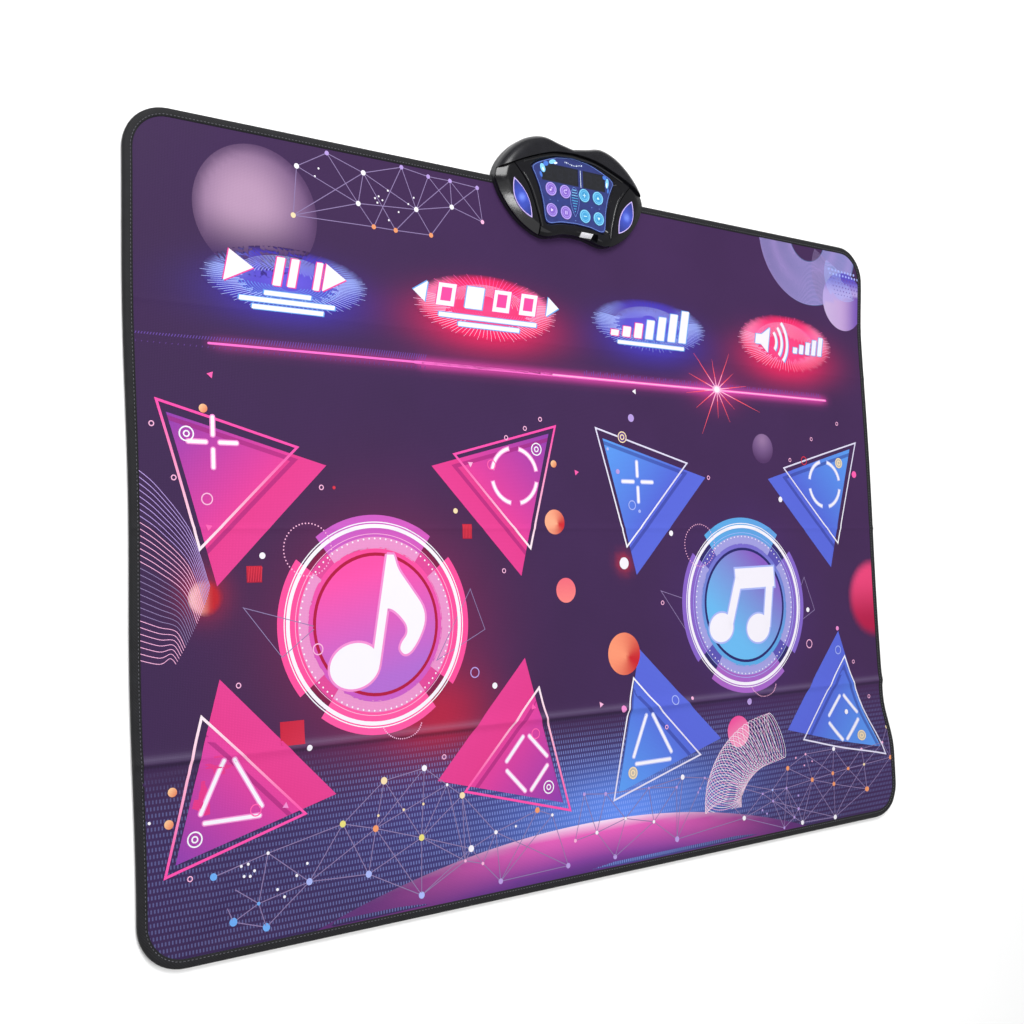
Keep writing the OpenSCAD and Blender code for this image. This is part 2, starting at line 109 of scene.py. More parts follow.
def clothHeight(x, y):
    edge = min(mat["halfWidth"] - abs(x), mat["far"] - y, y - mat["near"])
    calm = ease((edge - waves["flatEdge"]) / waves["calmReach"])
    calm *= ease(max(abs(x) - waves["consoleHalf"], waves["consoleFront"] - y) / waves["calmReach"])
    z = waves["low"] * math.sin(x / 57 + y / 83) + 0.7 * waves["low"] * math.sin(x / 121 - y / 66 + 1.3)
    z += waves["corner"] * math.exp(-((x + 528 - 0.8 * (y + 395)) / 17) ** 2 - ((x + 528 + y + 395) / 60) ** 2)
    z += waves["side"] * math.exp(-((x + 560 - 0.5 * (y + 300)) / 12) ** 2 - ((y + 290) / 40) ** 2)
    z *= calm
    t = y - waves["foldAt"] + 0.8 * math.sin(x / 90)
    t = t / waves["above"] if t > 0 else -t / waves["below"]
    z += waves["fold"] * max(0, 1 - t) ** 1.35 * (0.8 + 0.2 * math.sin(x / 160 + 1))
    t = abs(y - waves["foldAt"] + 0.17 * (-470 - x)) / waves["faintReach"]
    z += waves["sideFold"] * max(0, 1 - t) ** 1.3 * ease((-475 - x) / 60)
    for crease, share in ((0, 1), (240, 0.6)):
        z += waves["faint"] * share * max(0, 1 - abs(y - crease) / waves["faintReach"]) ** 1.5
    z += waves["hem"] * math.exp(-((y - mat["near"] - 16) / 7) ** 2) * (0.5 + 0.5 * math.sin(x / 88))
    return mat["top"] + z


# The mat's short sides swell a little, so its outline isn't ruled. The right one swells most at its two corners.
bulge = {"least": 0.5, "wave": 1.2, "farCorner": 8, "nearCorner": 19}


def swell(x, y):
    if x < 0:
        return x - (bulge["least"] + bulge["wave"] * (1 - math.sin(y / 62 + 1))) * ease((-x - 500) / 80)
    side = bulge["least"] + bulge["wave"] * (1 + math.sin(y / 70)) + bulge["farCorner"] * ease((y - 300) / 110)
    side += bulge["nearCorner"] * ease((-262 - y) / 90)
    return x + side * ease((x - 470) / 110)


# Colour of the dyed cloth, before anything printed in hard edges. A glow has its middle, its radii, ink and share.
dye = {
    "left": "#391f4c", "right": "#432655", "laser": "#ff4fc0", "deep": "#2f1f4e", "dusk": "#3f4da4", "dawn": "#5f8cf0",
    # The next two inks are a painted highlight along the top of the sharp fold and painted shade just below it.
    "wearAndHighlight": "#b9add2", "paintedFoldShade": "#150a22",
    "glows": [
        (-300, -128, 175, 172, "#9c1f50", 0.72), (-232, -222, 95, 72, "#c01a3c", 0.75),
        (-415, 262, 118, 44, "#4338c4", 0.9), (-139, 256, 128, 46, "#ff1f62", 0.95),
        (138, 262, 118, 44, "#4338c4", 0.9), (417, 256, 122, 46, "#ff1f62", 0.95),
        (300, -112, 150, 150, "#50308c", 0.5), (68, -47, 17, 17, "#c82c3c", 0.8),
        (262, 200, 60, 34, "#c83080", 0.55), (-522, -70, 36, 36, "#c01830", 0.55),
    ],
}


def tint(x, y):
    colour = mix(dye["left"], dye["right"], (x + 600) / 1200)
    for gx, gy, rx, ry, code, share in dye["glows"]:
        d = ((x - gx) / rx) ** 2 + ((y - gy) / ry) ** 2
        if d < 4:
            colour = mix(colour, code, share * math.exp(-2.1 * d))
    reach = 1 if x > -250 else 0.45
    ends = ease((x + 520) / 30) * ease((515 - x) / 30)
    colour = mix(colour, dye["laser"], 0.5 * reach * math.exp(-((y - 199) / 7) ** 2) * ends)
    low = ease((-236 - y) / 90)
    if low > 0:
        colour = mix(colour, dye["deep"], 0.4 * low)
        d = ((x + 40) / 430) ** 2 + ((y + 345) / 110) ** 2
        colour = mix(colour, dye["dusk"], 0.42 * low * math.exp(-1.5 * d))
        d = ((x - 55) / 190) ** 2 + ((y + 372) / 62) ** 2
        colour = mix(colour, dye["dawn"], 0.95 * low * math.exp(-1.3 * d))
    # A painted highlight lies pale along the top of the sharp fold, and painted shade darkens the cloth just below it.
    colour = mix(colour, dye["wearAndHighlight"], max(0, 1 - abs(y + 236) / 7) ** 1.5 * 0.13)
    return mix(colour, dye["paintedFoldShade"], max(0, 1 - abs(y + 243) / 3.2) * 0.55)


# How strongly the rows of printed dashes show.
def dashes(x, y):
    return ease((-236 - y) / 60) * (0.35 + 0.65 * math.exp(-((x + 20) / 330) ** 2))


# One node with its settings and its links or values.
def add(tree, kind, inputs=None, **settings):
    made = tree.nodes.new("ShaderNode" + kind)
    for key, value in settings.items():
        setattr(made, key, value)
    for key, value in (inputs or {}).items():
        if isinstance(value, bpy.types.NodeSocket):
            tree.links.new(value, made.inputs[key])
        else:
            made.inputs[key].default_value = value
    return made


def newMaterial(name, values):
    made = bpy.data.materials.new(name)
    made.use_nodes = True
    tree = made.node_tree
    shader = tree.nodes["Principled BSDF"]
    for key, value in values.items():
        shader.inputs[key].default_value = linear(value) if isinstance(value, str) else value
    return made, tree, shader


# Scale of a wave texture whose lines stand this many millimetres apart.
def lineScale(pitch):
    return math.pi / 10 / (pitch * mm)


# Two crossed waves make the weave of the cloth.
# The thread is 0.4 mm in the real cloth, and is drawn at 1.7 mm so that it shows.
pitches = {"thread": 1.7, "tapeRib": 1.5, "sewing": 0.9, "gripDot": 5, "dashRow": 6.8, "dashColumn": 3.7}


def weaveOn(tree, uv):
    across, along = (add(tree, "TexWave", {"Vector": uv, "Scale": lineScale(pitches["thread"]), "Distortion": 0.4},
                         bands_direction=way).outputs["Fac"] for way in "XY")
    return add(tree, "Math", {0: across, 1: along}, operation="MULTIPLY").outputs[0]


# Leads a colour, a roughness and a height into a material's shader.
def dress(tree, shader, tone, rough, height, strength, depth):
    bump = add(tree, "Bump", {"Height": height, "Strength": strength, "Distance": depth}).outputs[0]
    for socket, source in (("Base Color", tone), ("Roughness", rough), ("Normal", bump)):
        if source is not None:
            tree.links.new(source, shader.inputs[socket])


# Warp-knit polyester with a dyed print: matt, with the soft lift of a satin weave.
def makeCloth():
    made, tree, shader = newMaterial("printedPolyester", {
        "Roughness": 0.62, "Sheen Weight": 0.04, "Sheen Roughness": 0.4, "Specular IOR Level": 0.18, "IOR": 1.5})
    uv = add(tree, "UVMap", uv_map="cloth").outputs["UV"]
    weave = weaveOn(tree, uv)
    wearAndHighlight = add(tree, "TexNoise", {"Vector": uv, "Scale": 9, "Detail": 4})
    dyed = add(tree, "Attribute", attribute_name="tint").outputs["Color"]
    split = add(tree, "SeparateXYZ", {0: uv})
    row = add(tree, "Math", {0: split.outputs["Y"], 1: 1 / (pitches["dashRow"] * mm)}, operation="MULTIPLY").outputs[0]
    whole = add(tree, "Math", {0: row}, operation="FLOOR").outputs[0]
    half = add(tree, "Math", {0: whole, 1: 0.37}, operation="MULTIPLY").outputs[0]
    column = add(tree, "Math", {0: split.outputs["X"], 1: 1 / (pitches["dashColumn"] * mm), 2: half},
                 operation="MULTIPLY_ADD").outputs[0]
    masks = []
    for cell, low, high in ((column, 0.15, 0.27), (row, 0.22, 0.36)):
        part = add(tree, "Math", {0: cell}, operation="FRACT").outputs[0]
        off = add(tree, "Math", {0: part, 1: 0.5}, operation="SUBTRACT").outputs[0]
        size = add(tree, "Math", {0: off}, operation="ABSOLUTE").outputs[0]
        edge = {"Value": size, "From Min": low, "From Max": high, "To Min": 1, "To Max": 0}
        masks.append(add(tree, "MapRange", edge).outputs[0])
    dash = add(tree, "Math", {0: masks[0], 1: masks[1]}, operation="MULTIPLY").outputs[0]
    strength = add(tree, "Attribute", attribute_name="dash").outputs["Fac"]
    dash = add(tree, "Math", {0: dash, 1: strength}, operation="MULTIPLY").outputs[0]
    dash = add(tree, "Math", {0: dash, 1: 0.5}, operation="MULTIPLY").outputs[0]
    lit = add(tree, "Mix", {0: dash, 6: dyed, 7: linear("#8fa4ea")}, data_type="RGBA").outputs[2]
    shade = add(tree, "MapRange", {"Value": weave, "From Max": 0.8, "To Min": 0.86, "To Max": 1.08}).outputs[0]
    patches = {"Value": wearAndHighlight.outputs["Fac"], "From Min": 0.3, "From Max": 0.7, "To Min": 0.94, "To Max": 1.06}
    patchy = add(tree, "MapRange", patches).outputs[0]
    both = add(tree, "Math", {0: shade, 1: patchy}, operation="MULTIPLY").outputs[0]
    tone = add(tree, "Mix", {0: 1.0, 6: lit, 7: both}, data_type="RGBA", blend_type="MULTIPLY").outputs[2]
    rough = add(tree, "MapRange", {"Value": wearAndHighlight.outputs["Fac"], "To Min": 0.52, "To Max": 0.72}).outputs[0]
    dress(tree, shader, tone, rough, weave, 0.35, 0.0002)
    return made


# The same cloth where ink covers it. Lines keep one ink, and fills read it from the piece.
def makeInk(name, code=None):
    made, tree, shader = newMaterial(name, {
        "Roughness": 0.6, "Sheen Weight": 0.04, "Sheen Roughness": 0.4, "Specular IOR Level": 0.18})
    uv = add(tree, "UVMap", uv_map="cloth").outputs["UV"]
    weave = weaveOn(tree, uv)
    rough = add(tree, "MapRange", {"Value": weave, "To Min": 0.68, "To Max": 0.52}).outputs[0]
    tone = None
    if code:
        shader.inputs["Base Color"].default_value = printed(code)
    else:
        ink = add(tree, "Attribute", attribute_name="ink").outputs["Color"]
        shade = add(tree, "MapRange", {"Value": weave, "From Max": 0.8, "To Min": 0.93, "To Max": 1.04}).outputs[0]
        tone = add(tree, "Mix", {0: 1.0, 6: ink, 7: shade}, data_type="RGBA", blend_type="MULTIPLY").outputs[2]
    dress(tree, shader, tone, rough, weave, 0.35, 0.0002)
    return made


inks = {
    "white": "#f4f0fa", "neonHalo": "#f08fd2", "blueHalo": "#a9b6f6", "pink": "#ff5fb0", "palePink": "#f7b4dc",
    "hotPink": "#f5489f", "lilac": "#b79be0", "violet": "#6a4aa8", "blue": "#6aa8f0", "cream": "#f6ddb0",
    "orange": "#f29a6a", "red": "#d8324a", "yellow": "#e9dc7c", "laser": "#ff6fce", "maroon": "#7c1446",
    "navy": "#2c2468", "dimLilac": "#8d7aa8", "plum": "#5b3a86", "ray": "#ff5a6e", "gold": "#c2b7ac",
}
inkNames = list(inks)
inkMaterials = {name: makeInk("ink" + name[0].upper() + name[1:], code) for name, code in inks.items()}
fillInk = makeInk("inkShaded")
clothFinish = makeCloth()
print("cloth and ink materials ready")


# A sheet of print is gathered in one mesh. Each shape is flat, in millimetres, with its layer as its height.
layerStep = 0.045
sheetOfLines = bmesh.new()
sheetOfFills = bmesh.new()
sheetOfFills.verts.layers.float_color.new("ink")
scratch = bpy.data.meshes.new("scratch")


# Cuts a shape along a plane, and may drop what lies beyond it.
def sliceAt(shape, place, normal, dropOuter=False):
    bmesh.ops.bisect_plane(shape, geom=shape.verts[:] + shape.edges[:] + shape.faces[:], dist=1e-4,
                           plane_co=place, plane_no=normal, clear_outer=dropOuter)


# Places to cut between two ends: even steps, with close ones at the creases, where the cloth bends.
def cutLines(low, high, step, creases=()):
    lines = [i * step for i in range(math.ceil(low / step), math.floor(high / step) + 1)]
    for crease in creases:
        lines += [crease + d for d in (-14, -9, -6, -4, -2.5, -1.2, 0, 1.2, 2.5, 4, 6, 9, 14)]
    if creases:
        lines.append(mat["split"])
    return sorted(set(l for l in lines if low + 0.01 < l < high - 0.01))


def cutToCloth(shape, step, creases=mat["creases"]):
    for axis, marks in ((0, ()), (1, creases)):
        places = [v.co[axis] for v in shape.verts]
        normal = (1, 0, 0) if axis == 0 else (0, 1, 0)
        for line in cutLines(min(places), max(places), step, marks):
            sliceAt(shape, Vector(normal) * line, normal)


# Adds a shape to a sheet of print. Its ink is a name for lines, or a function of place for fills.
def layDown(shape, layer, ink, step=24):
    cutToCloth(shape, step)
    filled = callable(ink)
    if filled:
        paint = shape.verts.layers.float_color.new("ink")
    for v in shape.verts:
        v.co.z = layer * layerStep
        if filled:
            v[paint] = printed(ink(v.co.x, v.co.y))
    if not filled:
        for f in shape.faces:
            f.material_index = inkNames.index(ink)
    shape.to_mesh(scratch)
    shape.free()
    (sheetOfFills if filled else sheetOfLines).from_mesh(scratch)


def polygon(points):
    shape = bmesh.new()
    shape.faces.new([shape.verts.new((x, y, 0)) for x, y in points])
    shape.normal_update()
    return shape


def disc(x, y, r, ry=None, segments=28, turn=0):
    shape = bmesh.new()
    turned = Matrix.Translation((x, y, 0)) @ Matrix.Rotation(math.radians(turn), 4, "Z")
    place = turned @ Matrix.Diagonal((r, ry or r, 1, 1))
    bmesh.ops.create_circle(shape, cap_ends=True, radius=1, segments=segments, matrix=place)
    return shape


# An arc of a ring, from a start angle through a sweep, in degrees.
def ring(x, y, inner, outer, start=0, sweep=360, flat=1, steps=0):
    shape = bmesh.new()
    a = math.radians(start)
    ends = [shape.verts.new((r * math.cos(a), r * math.sin(a), 0)) for r in (inner, outer)]
    edge = shape.edges.new(ends)
    steps = steps or max(6, int(abs(sweep) / 360 * (20 + outer * 0.8)))
    bmesh.ops.spin(shape, geom=ends + [edge], cent=(0, 0, 0), axis=(0, 0, 1), angle=math.radians(sweep),
                   steps=steps, use_merge=sweep == 360)
    bmesh.ops.scale(shape, vec=(1, flat, 1), verts=shape.verts)
    bmesh.ops.translate(shape, vec=(x, y, 0), verts=shape.verts)
    return shape


def bar(a, b, width, rounded=True):
    a, b = Vector(a), Vector(b)
    along = (b - a).normalized() * width / 2 * rounded
    side = Vector((-(b - a).y, (b - a).x)).normalized() * width / 2
    shape = polygon([a - along - side, b + along - side, b + along + side, a - along + side])
    if rounded:
        bmesh.ops.bevel(shape, geom=shape.verts[:], affect="VERTICES", offset=width * 0.46, segments=3, profile=0.5,
                        material=-1)
    return shape


# The band inside a closed outline.
def frameOf(points, width):
    shape = polygon(points)
    face = next(iter(shape.faces))
    bmesh.ops.inset_individual(shape, faces=[face], thickness=width, use_even_offset=True)
    bmesh.ops.delete(shape, geom=[face], context="FACES")
    return shape


# A line drawn along points: its edges are extruded once, and the two rows move apart.
def stroke(points, width, endWidth=None):
    shape = bmesh.new()
    points = [Vector(p) for p in points]
    last = len(points) - 1
    verts = [shape.verts.new((*p, 0)) for p in points]
    edges = [shape.edges.new(pair) for pair in zip(verts, verts[1:])]
    bmesh.ops.extrude_edge_only(shape, edges=edges)
    for i, v in enumerate(verts):
        ahead = points[min(i + 1, last)] - points[max(i - 1, 0)]
        wide = width + ((width if endWidth is None else endWidth) - width) * i / last
        side = Vector((-ahead.y, ahead.x, 0)).normalized() * wide / 2
        twin = next(e.other_vert(v) for e in v.link_edges if e.other_vert(v) not in verts)
        twin.co += side
        v.co -= side
    return shape


# A smooth line through points.
def curved(points, steps=4):
    last = len(points) - 1
    made = []
    for i in range(last):
        a, b, c, d = (Vector(points[min(max(j, 0), last)]) for j in (i - 1, i, i + 1, i + 2))
        for k in range(steps):
            t = k / steps
            square, cube = (2 * a - 5 * b + 4 * c - d) * t * t, (3 * b - a - 3 * c + d) * t ** 3
            made.append(0.5 * (2 * b + (c - a) * t + square + cube))
    return made + [Vector(points[last])]


# Fades between two inks along a line, or out from a point.
def fade(a, b, near, far, power=1):
    a, b = Vector(a), Vector(b)
    way = (b - a) / (b - a).length_squared
    return lambda x, y: mix(near, far, min(max((Vector((x, y)) - a).dot(way), 0), 1) ** power)


def flatInk(code):
    return lambda x, y: code


# A lit ball: its light spot stands away from its middle by the lift, in radii.
def ball(x, y, r, light, body, dark, lift):
    light, body, dark = linear(light), linear(body), linear(dark)

    def paint(px, py):
        d = math.hypot(px - x - lift[0] * r, py - y - lift[1] * r) / (1.45 * r)
        return mix(light, body, d * 2) if d < 0.5 else mix(body, dark, d * 2 - 1)
    return paint


# Shade that turns round a point, from light to dark, as on a cone.
def cone(x, y, light, dark, turn):
    light, dark = linear(light), linear(dark)

    def paint(px, py):
        a = math.atan2(py - y, px - x) - math.radians(turn)
        return mix(dark, light, 0.5 + 0.5 * math.cos(a))
    return paint


# Ground shapes: a planet's rim, spheres and two moire bands.
planet = {"top": -378, "radius": 1354, "rim": ("#fbe4fb", "#ea62be", "#7c3c9c", "#3d2468")}


def planetInk(x, y):
    depth = planet["top"] - planet["radius"] + math.sqrt(planet["radius"] ** 2 - x * x) - y
    a = abs(x - 10) / 400
    first = mix(planet["rim"][0], planet["rim"][1], depth / 13 + a)
    middle = mix(first, planet["rim"][2], (depth - 14) / 34)
    deep = mix(middle, planet["rim"][3], (depth - 44) / 26)
    return mix(deep, planet["rim"][3], ease(a * 1.15 - 0.1) * 0.92)


shape = disc(0, planet["top"] - planet["radius"], planet["radius"], segments=420)
for place, outward in (((0, mat["near"] + 5, 0), (0, -1, 0)), ((-470, 0, 0), (-1, 0, 0)), ((470, 0, 0), (1, 0, 0))):
    sliceAt(shape, place, outward, True)
layDown(shape, 0, planetInk, step=8)


pale = {"x": -451, "y": 353, "r": 75}


def paleSphere(x, y):
    d = math.hypot(x - pale["x"], y - pale["y"]) / pale["r"]
    lit = math.hypot(x - pale["x"] + 12, y - pale["y"] - 7) / pale["r"]
    body = mix("#b895b5", "#6f4f7c", ease(lit * 1.05 - 0.2))
    sink = ease((pale["y"] + 6 - y) / 78)
    return mix(body, tint(x, y), max(sink * 0.97, 0.6 * ease(d * 5 - 4)))


layDown(disc(pale["x"], pale["y"], pale["r"], segments=72), 0, paleSphere, step=7)
layDown(disc(352, 118, 22, segments=40), 0, ball(352, 118, 22, "#9c7aa6", "#7a5a8c", "#553567", (0, 0.6)), step=5)


def coolSphere(x, y):
    d = (x - 508) / 94
    base = mix(mix("#cbb4e0", "#c4a4da", d * 2), "#7550b4", ease(d * 1.9 - 0.75))
    seam = y - (354 + 0.24 * (x - 508))
    upper = mix("#bba8e4", "#5a4cc4", ease((y - 372) / 28))
    return upper if seam > 0 else base


layDown(disc(555, 361, 47, segments=64), 2, coolSphere, step=5)
layDown(ring(478, 455, 38, 108, 184, 172), 0, fade((400, 420), (560, 380), "#5a5f92", "#6f7fb8"), step=8)
for i in range(34):
    r = 40 + 2 * i
    layDown(ring(478 + 1.5 * math.sin(i / 3), 455, r, r + 0.8, 186, 168), 1, "lilac", step=60)
for i in range(30):
    r = 12 + 2.1 * i
    outside = r > 47  # beyond the sphere
    layDown(ring(560, 402, r, r + 0.75, 150, 150 if r < 40 else 74),
            1 if outside else 3, "dimLilac" if outside else "blueHalo", step=60)
for i in range(7):
    for k in range(9 + i):
        dot = disc(524 + i * 2 + k * 7, 411 - 6.4 * i - 0.4 * k, 2.2 - 0.2 * i, segments=8)
        layDown(dot, 3, "violet" if i > 1 else "blueHalo", step=60)


def farSphere(x, y):
    body = mix("#f2467e", "#b8164a", ease((40 - (y + 110)) / 80))
    return mix(body, tint(x, y), ease((math.hypot(x - 590, y + 110) - 46) / 18))


shape = disc(590, -110, 64, segments=64)
sliceAt(shape, (594, 0, 0), (1, 0, 0), True)
layDown(shape, 0, farSphere, step=6)

# Left: a fan of fine waves that narrows to a point.
for i in range(30):
    t = i / 29
    y = 62 - 196 * t
    tip = Vector((-516 - 37 * t ** 1.3, -62 - 79 * t))
    way = curved([(-593, y), (-570, y - 20 + 14 * t), (tip.x - 20 + 14 * t, y + 0.55 * (tip.y - y) + 3), tuple(tip)], 6)
    layDown(stroke(way, 0.8, 0.6), 1, ("lilac", "palePink", "dimLilac", "palePink")[i * 4 // 30], step=60)

# Right: a tube of fine loops.
way = curved([(232, -398), (238, -366), (262, -334), (300, -312), (352, -302)], 11)
for i, p in enumerate(way[:-1]):
    ahead = (way[i + 1] - p).normalized()
    loop = disc(0, 0, 15 + 5 * math.sin(i / 9), 37, 30)
    loop.normal_update()
    bmesh.ops.inset_individual(loop, faces=loop.faces[:], thickness=0.8, use_even_offset=True)
    loop.faces.ensure_lookup_table()
    bmesh.ops.delete(loop, geom=[max(loop.faces, key=lambda f: f.calc_area())], context="FACES")
    turn = Matrix.Rotation(math.atan2(ahead.y, ahead.x) + 0.25, 4, "Z")
    bmesh.ops.transform(loop, matrix=Matrix.Translation((*p, 0)) @ turn, verts=loop.verts)
    sliceAt(loop, (0, -395, 0), (0, -1, 0), True)
    layDown(loop, 3, "white" if i % 2 else "palePink", step=60)
print("ground print laid")

# The laser line, its ticks and its flare.
layDown(bar((-511, 199), (-40, 200), 2.6), 1, "laser", step=20)
layDown(bar((-250, 199.5), (502, 199), 3.6), 1, "laser", step=20)
layDown(bar((-40, 199.6), (500, 199.2), 1.4), 2, "palePink", step=20)
for i in range(112):
    x = -592 + 3.2 * i
    tall = 2.4 + 5 * ease((x + 600) / 260)
    layDown(bar((x, 202.5), (x + 1.5 + 0.012 * i, 202.5 + tall), 0.8, False), 1, "violet", step=60)
    if i % 2:
        layDown(bar((x + 1, 195.5), (x, 195.5 - tall * 0.5), 0.9, False), 1, "plum", step=60)
for i in range(120):
    x = 14 + 4 * i
    layDown(bar((x, 202.5), (x + 0.4, 208 + 2 * math.sin(i * 2.1)), 1.0, False), 1, "violet", step=60)
flare = {"x": 262, "y": 200.5, "rays": ((8, 62), (36, 44), (62, 62), (100, 44), (131, 66), (160, 58), (188, 62),
                                        (214, 52), (243, 74), (270, 42), (297, 52), (322, 44), (342, 92))}
heart = Vector((flare["x"], flare["y"]))
for angle, length in flare["rays"]:
    a = math.radians(angle)
    tip = Vector((math.cos(a), math.sin(a)))
    layDown(stroke([heart, heart + tip * length * 0.5, heart + tip * length], 2.4, 0.3), 2, "ray", step=60)
    layDown(stroke([heart, heart + tip * length * 0.42], 2.4, 0.4), 3, "palePink", step=60)
layDown(disc(flare["x"], flare["y"], 9, 6, 24), 3, "palePink")
layDown(disc(flare["x"], flare["y"], 5.6, 4.4, 20), 4, "white")

# Step pads. Each has a solid triangle, the part under its outline shaded, and the outline itself.
# A row gives the colour, the sign and its place, the outline's corners and the solid's corners.
pads = [
    ("pink", "plus", (-509, 92), ((-571, 137), (-407, 91), (-527, -25)), ((-559, 122), (-374, 71), (-508, -62))),
    ("pink", "ring", (-108, 66), ((-38, 134), (-201, 91), (-87, -28)), ((-51, 122), (-232, 75), (-104, -60))),
    ("pink", "triangle", (-498, -278), ((-573, -358), (-529, -195), (-410, -313)),
     ((-560, -345), (-508, -160), (-374, -296))),
    ("pink", "diamond", (-107, -292), ((-40, -360), (-203, -316), (-83, -198)),
     ((-53, -347), (-239, -298), (-104, -162))),
    ("blue", "plus", (99, 63), ((27, 135), (197, 92), (74, -27)), ((40, 120), (230, 72), (90, -63))),
    ("blue", "ring", (488, 68), ((568, 137), (394, 91), (512, -25)), ((552, 125), (360, 73), (492, -60))),
    ("blue", "triangle", (104, -284), ((30, -357), (76, -198), (195, -314)), ((40, -347), (89, -162), (234, -295))),
    ("blue", "diamond", (500, -290), ((579, -357), (512, -195), (406, -315)), ((567, -343), (500, -158), (374, -297))),
]
padInk = {
    "pink": {"outer": "#8e3cac", "inner": "#e83f9c", "solid": ("#e22f84", "#e63d92"), "shadow": "#9a1c74",
             "line": ("#ff4fae", "#fff0f8"), "width": 2.9},
    "blue": {"outer": "#5c9ef4", "inner": "#5568dc", "solid": ("#5560d8", "#5a6ade"), "shadow": "#343c94",
             "line": ("#e3def8", "#fbf8ff"), "width": 2.3},
}
neonWidth, ringRadius = 3.9, 35


# A pad's sign, in white strokes with a wider halo under them.
def neonGlyph(kind, x, y, halo):
    parts = []
    if kind == "plus":
        parts = [((x + 8 * c, y + 8 * s), (x + 27 * c, y + 27 * s)) for c, s in ((1, 0), (0, 1), (-1, 0), (0, -1))]
    if kind == "triangle":
        parts = [((x - 8, y + 33), (x - 34, y - 19)), ((x + 4, y + 33), (x + 34, y - 19)),
                 ((x - 30, y - 29), (x + 31, y - 29))]
    if kind == "diamond":
        parts = [((x + 5 * c, y + 33 * s), (x + 31 * c, y + 6 * s)) for c in (1, -1) for s in (1, -1)]
    for a, b in parts:
        layDown(bar(a, b, neonWidth * 1.7), 6, halo)
        layDown(bar(a, b, neonWidth), 7, "white")
    if kind == "ring":
        for start in (12, 103, 193, 283):
            layDown(ring(x, y, ringRadius - neonWidth * 0.85, ringRadius + neonWidth * 0.85, start - 2, 68), 6, halo)
            layDown(ring(x, y, ringRadius - neonWidth / 2, ringRadius + neonWidth / 2, start, 64), 7, "white")


# Keeps only what lies inside a convex outline.
def clipTo(shape, outline):
    corners = [Vector(p) for p in outline]
    heart = sum(corners, Vector((0, 0))) / len(corners)
    for a, b in zip(corners, corners[1:] + corners[:1]):
        normal = Vector((-(b - a).y, (b - a).x))
        normal = -normal if (heart - a).dot(normal) > 0 else normal
        sliceAt(shape, (*a, 0), (*normal, 0), True)


for colour, kind, place, outline, solid in pads:
    look = padInk[colour]
    corner, innerMiddle = Vector(solid[0]), (Vector(solid[1]) + Vector(solid[2])) / 2
    layDown(polygon(solid), 1, fade(corner, innerMiddle, *look["solid"]), step=20)
    under = polygon(solid)
    clipTo(under, outline)
    bmesh.ops.dissolve_limit(under, angle_limit=0.01, verts=under.verts, edges=under.edges)
    underShape = [tuple(v.co.xy) for v in next(iter(under.faces)).verts]
    shaded = fade(corner, (Vector(outline[1]) + Vector(outline[2])) / 2, look["outer"], look["inner"], 1.1)
    layDown(under, 2, shaded, step=12)
    # The outline's printed shadow falls below it, on the solid and on the shaded part.
    for region, layer, paint in ((solid, 1.5, fade(corner, innerMiddle, *look["solid"])), (underShape, 3, shaded)):
        strip = frameOf([(x - 2, y - 14) for x, y in outline], 5)
        clipTo(strip, region)
        layDown(strip, layer, lambda x, y, paint=paint: mix(paint(x, y), look["shadow"], 0.62), step=12)
    tip = min(outline, key=lambda p: abs(p[1] + 110))
    rest = [Vector(p) for p in outline if p != tip]
    tipToward = fade((rest[0] + rest[1]) / 2, tip, *look["line"], 1.4)
    layDown(frameOf(outline, look["width"]), 5, tipToward, step=20)
    neonGlyph(kind, place[0], place[1], "neonHalo" if colour == "pink" else "blueHalo")
print("step pads laid")

# A player's ring: a dark base, four coloured segments, white rings and a shaded disc with a note.
ringInk = {
    "pink": {"x": -314, "base": "maroon", "segments": ("#ff4f9e", "#c75cc8", "#ff4f9e", "#ff5aa6"), "inner": "#ea94cc",
             "band": "#e2489a",
             "plain": "#ff4b9c", "dark": "#b0103f", "disc": ("#ff4fa8", "#b46cd2"), "way": ((-330, -40), (-300, -170))},
    "blue": {"x": 298, "base": "navy", "segments": ("#8a63c9", "#5aaeea", "#8a63c9", "#b562c4"), "inner": "#a3a0e2",
             "band": "#5c54b4",
             "plain": "#7a6ad0", "dark": "#28246c", "disc": ("#8a5cc4", "#6cbcf4"), "way": ((340, -50), (262, -140))},
}
ringY = -110.5
for look in ringInk.values():
    x = look["x"]
    layDown(disc(x, ringY, 110, segments=64), 1, look["base"], step=24)
    layDown(disc(x, ringY, 103, segments=64), 1.5, flatInk(look["band"]), step=24)
    for i, code in enumerate(look["segments"]):
        start = i * 90 - 37
        across = fade((x - 120, ringY + 60), (x + 120, ringY - 60), code, mix(code, look["plain"], 0.4))
        layDown(ring(x, ringY, 100, 126, start, 74), 2, across, step=16)
        layDown(ring(x, ringY, 87, 100.5, start, 74), 3, flatInk(look["inner"]), step=24)
    across = fade((x, ringY + 88), (x, ringY - 88), look["plain"], look["segments"][1])
    layDown(disc(x, ringY, 88.5, segments=64), 3, across, step=12)
    layDown(ring(x, ringY, 116.9, 118.2), 4, "white")
    layDown(ring(x, ringY, 110.8, 115.4), 4, "white")
    layDown(ring(x, ringY, 103.6, 104.4), 4, "palePink" if x < 0 else "blueHalo")
    for i in range(84):
        a = math.radians(i * 360 / 84)
        layDown(disc(x + 98.6 * math.cos(a), ringY + 98.6 * math.sin(a), 1.15, segments=6), 5, "white", step=60)
    layDown(disc(x, ringY, 82.4, segments=64), 4, flatInk(look["dark"]), step=24)
    layDown(disc(x, ringY, 78.6, segments=64), 5, fade(*look["way"], *look["disc"]), step=10)

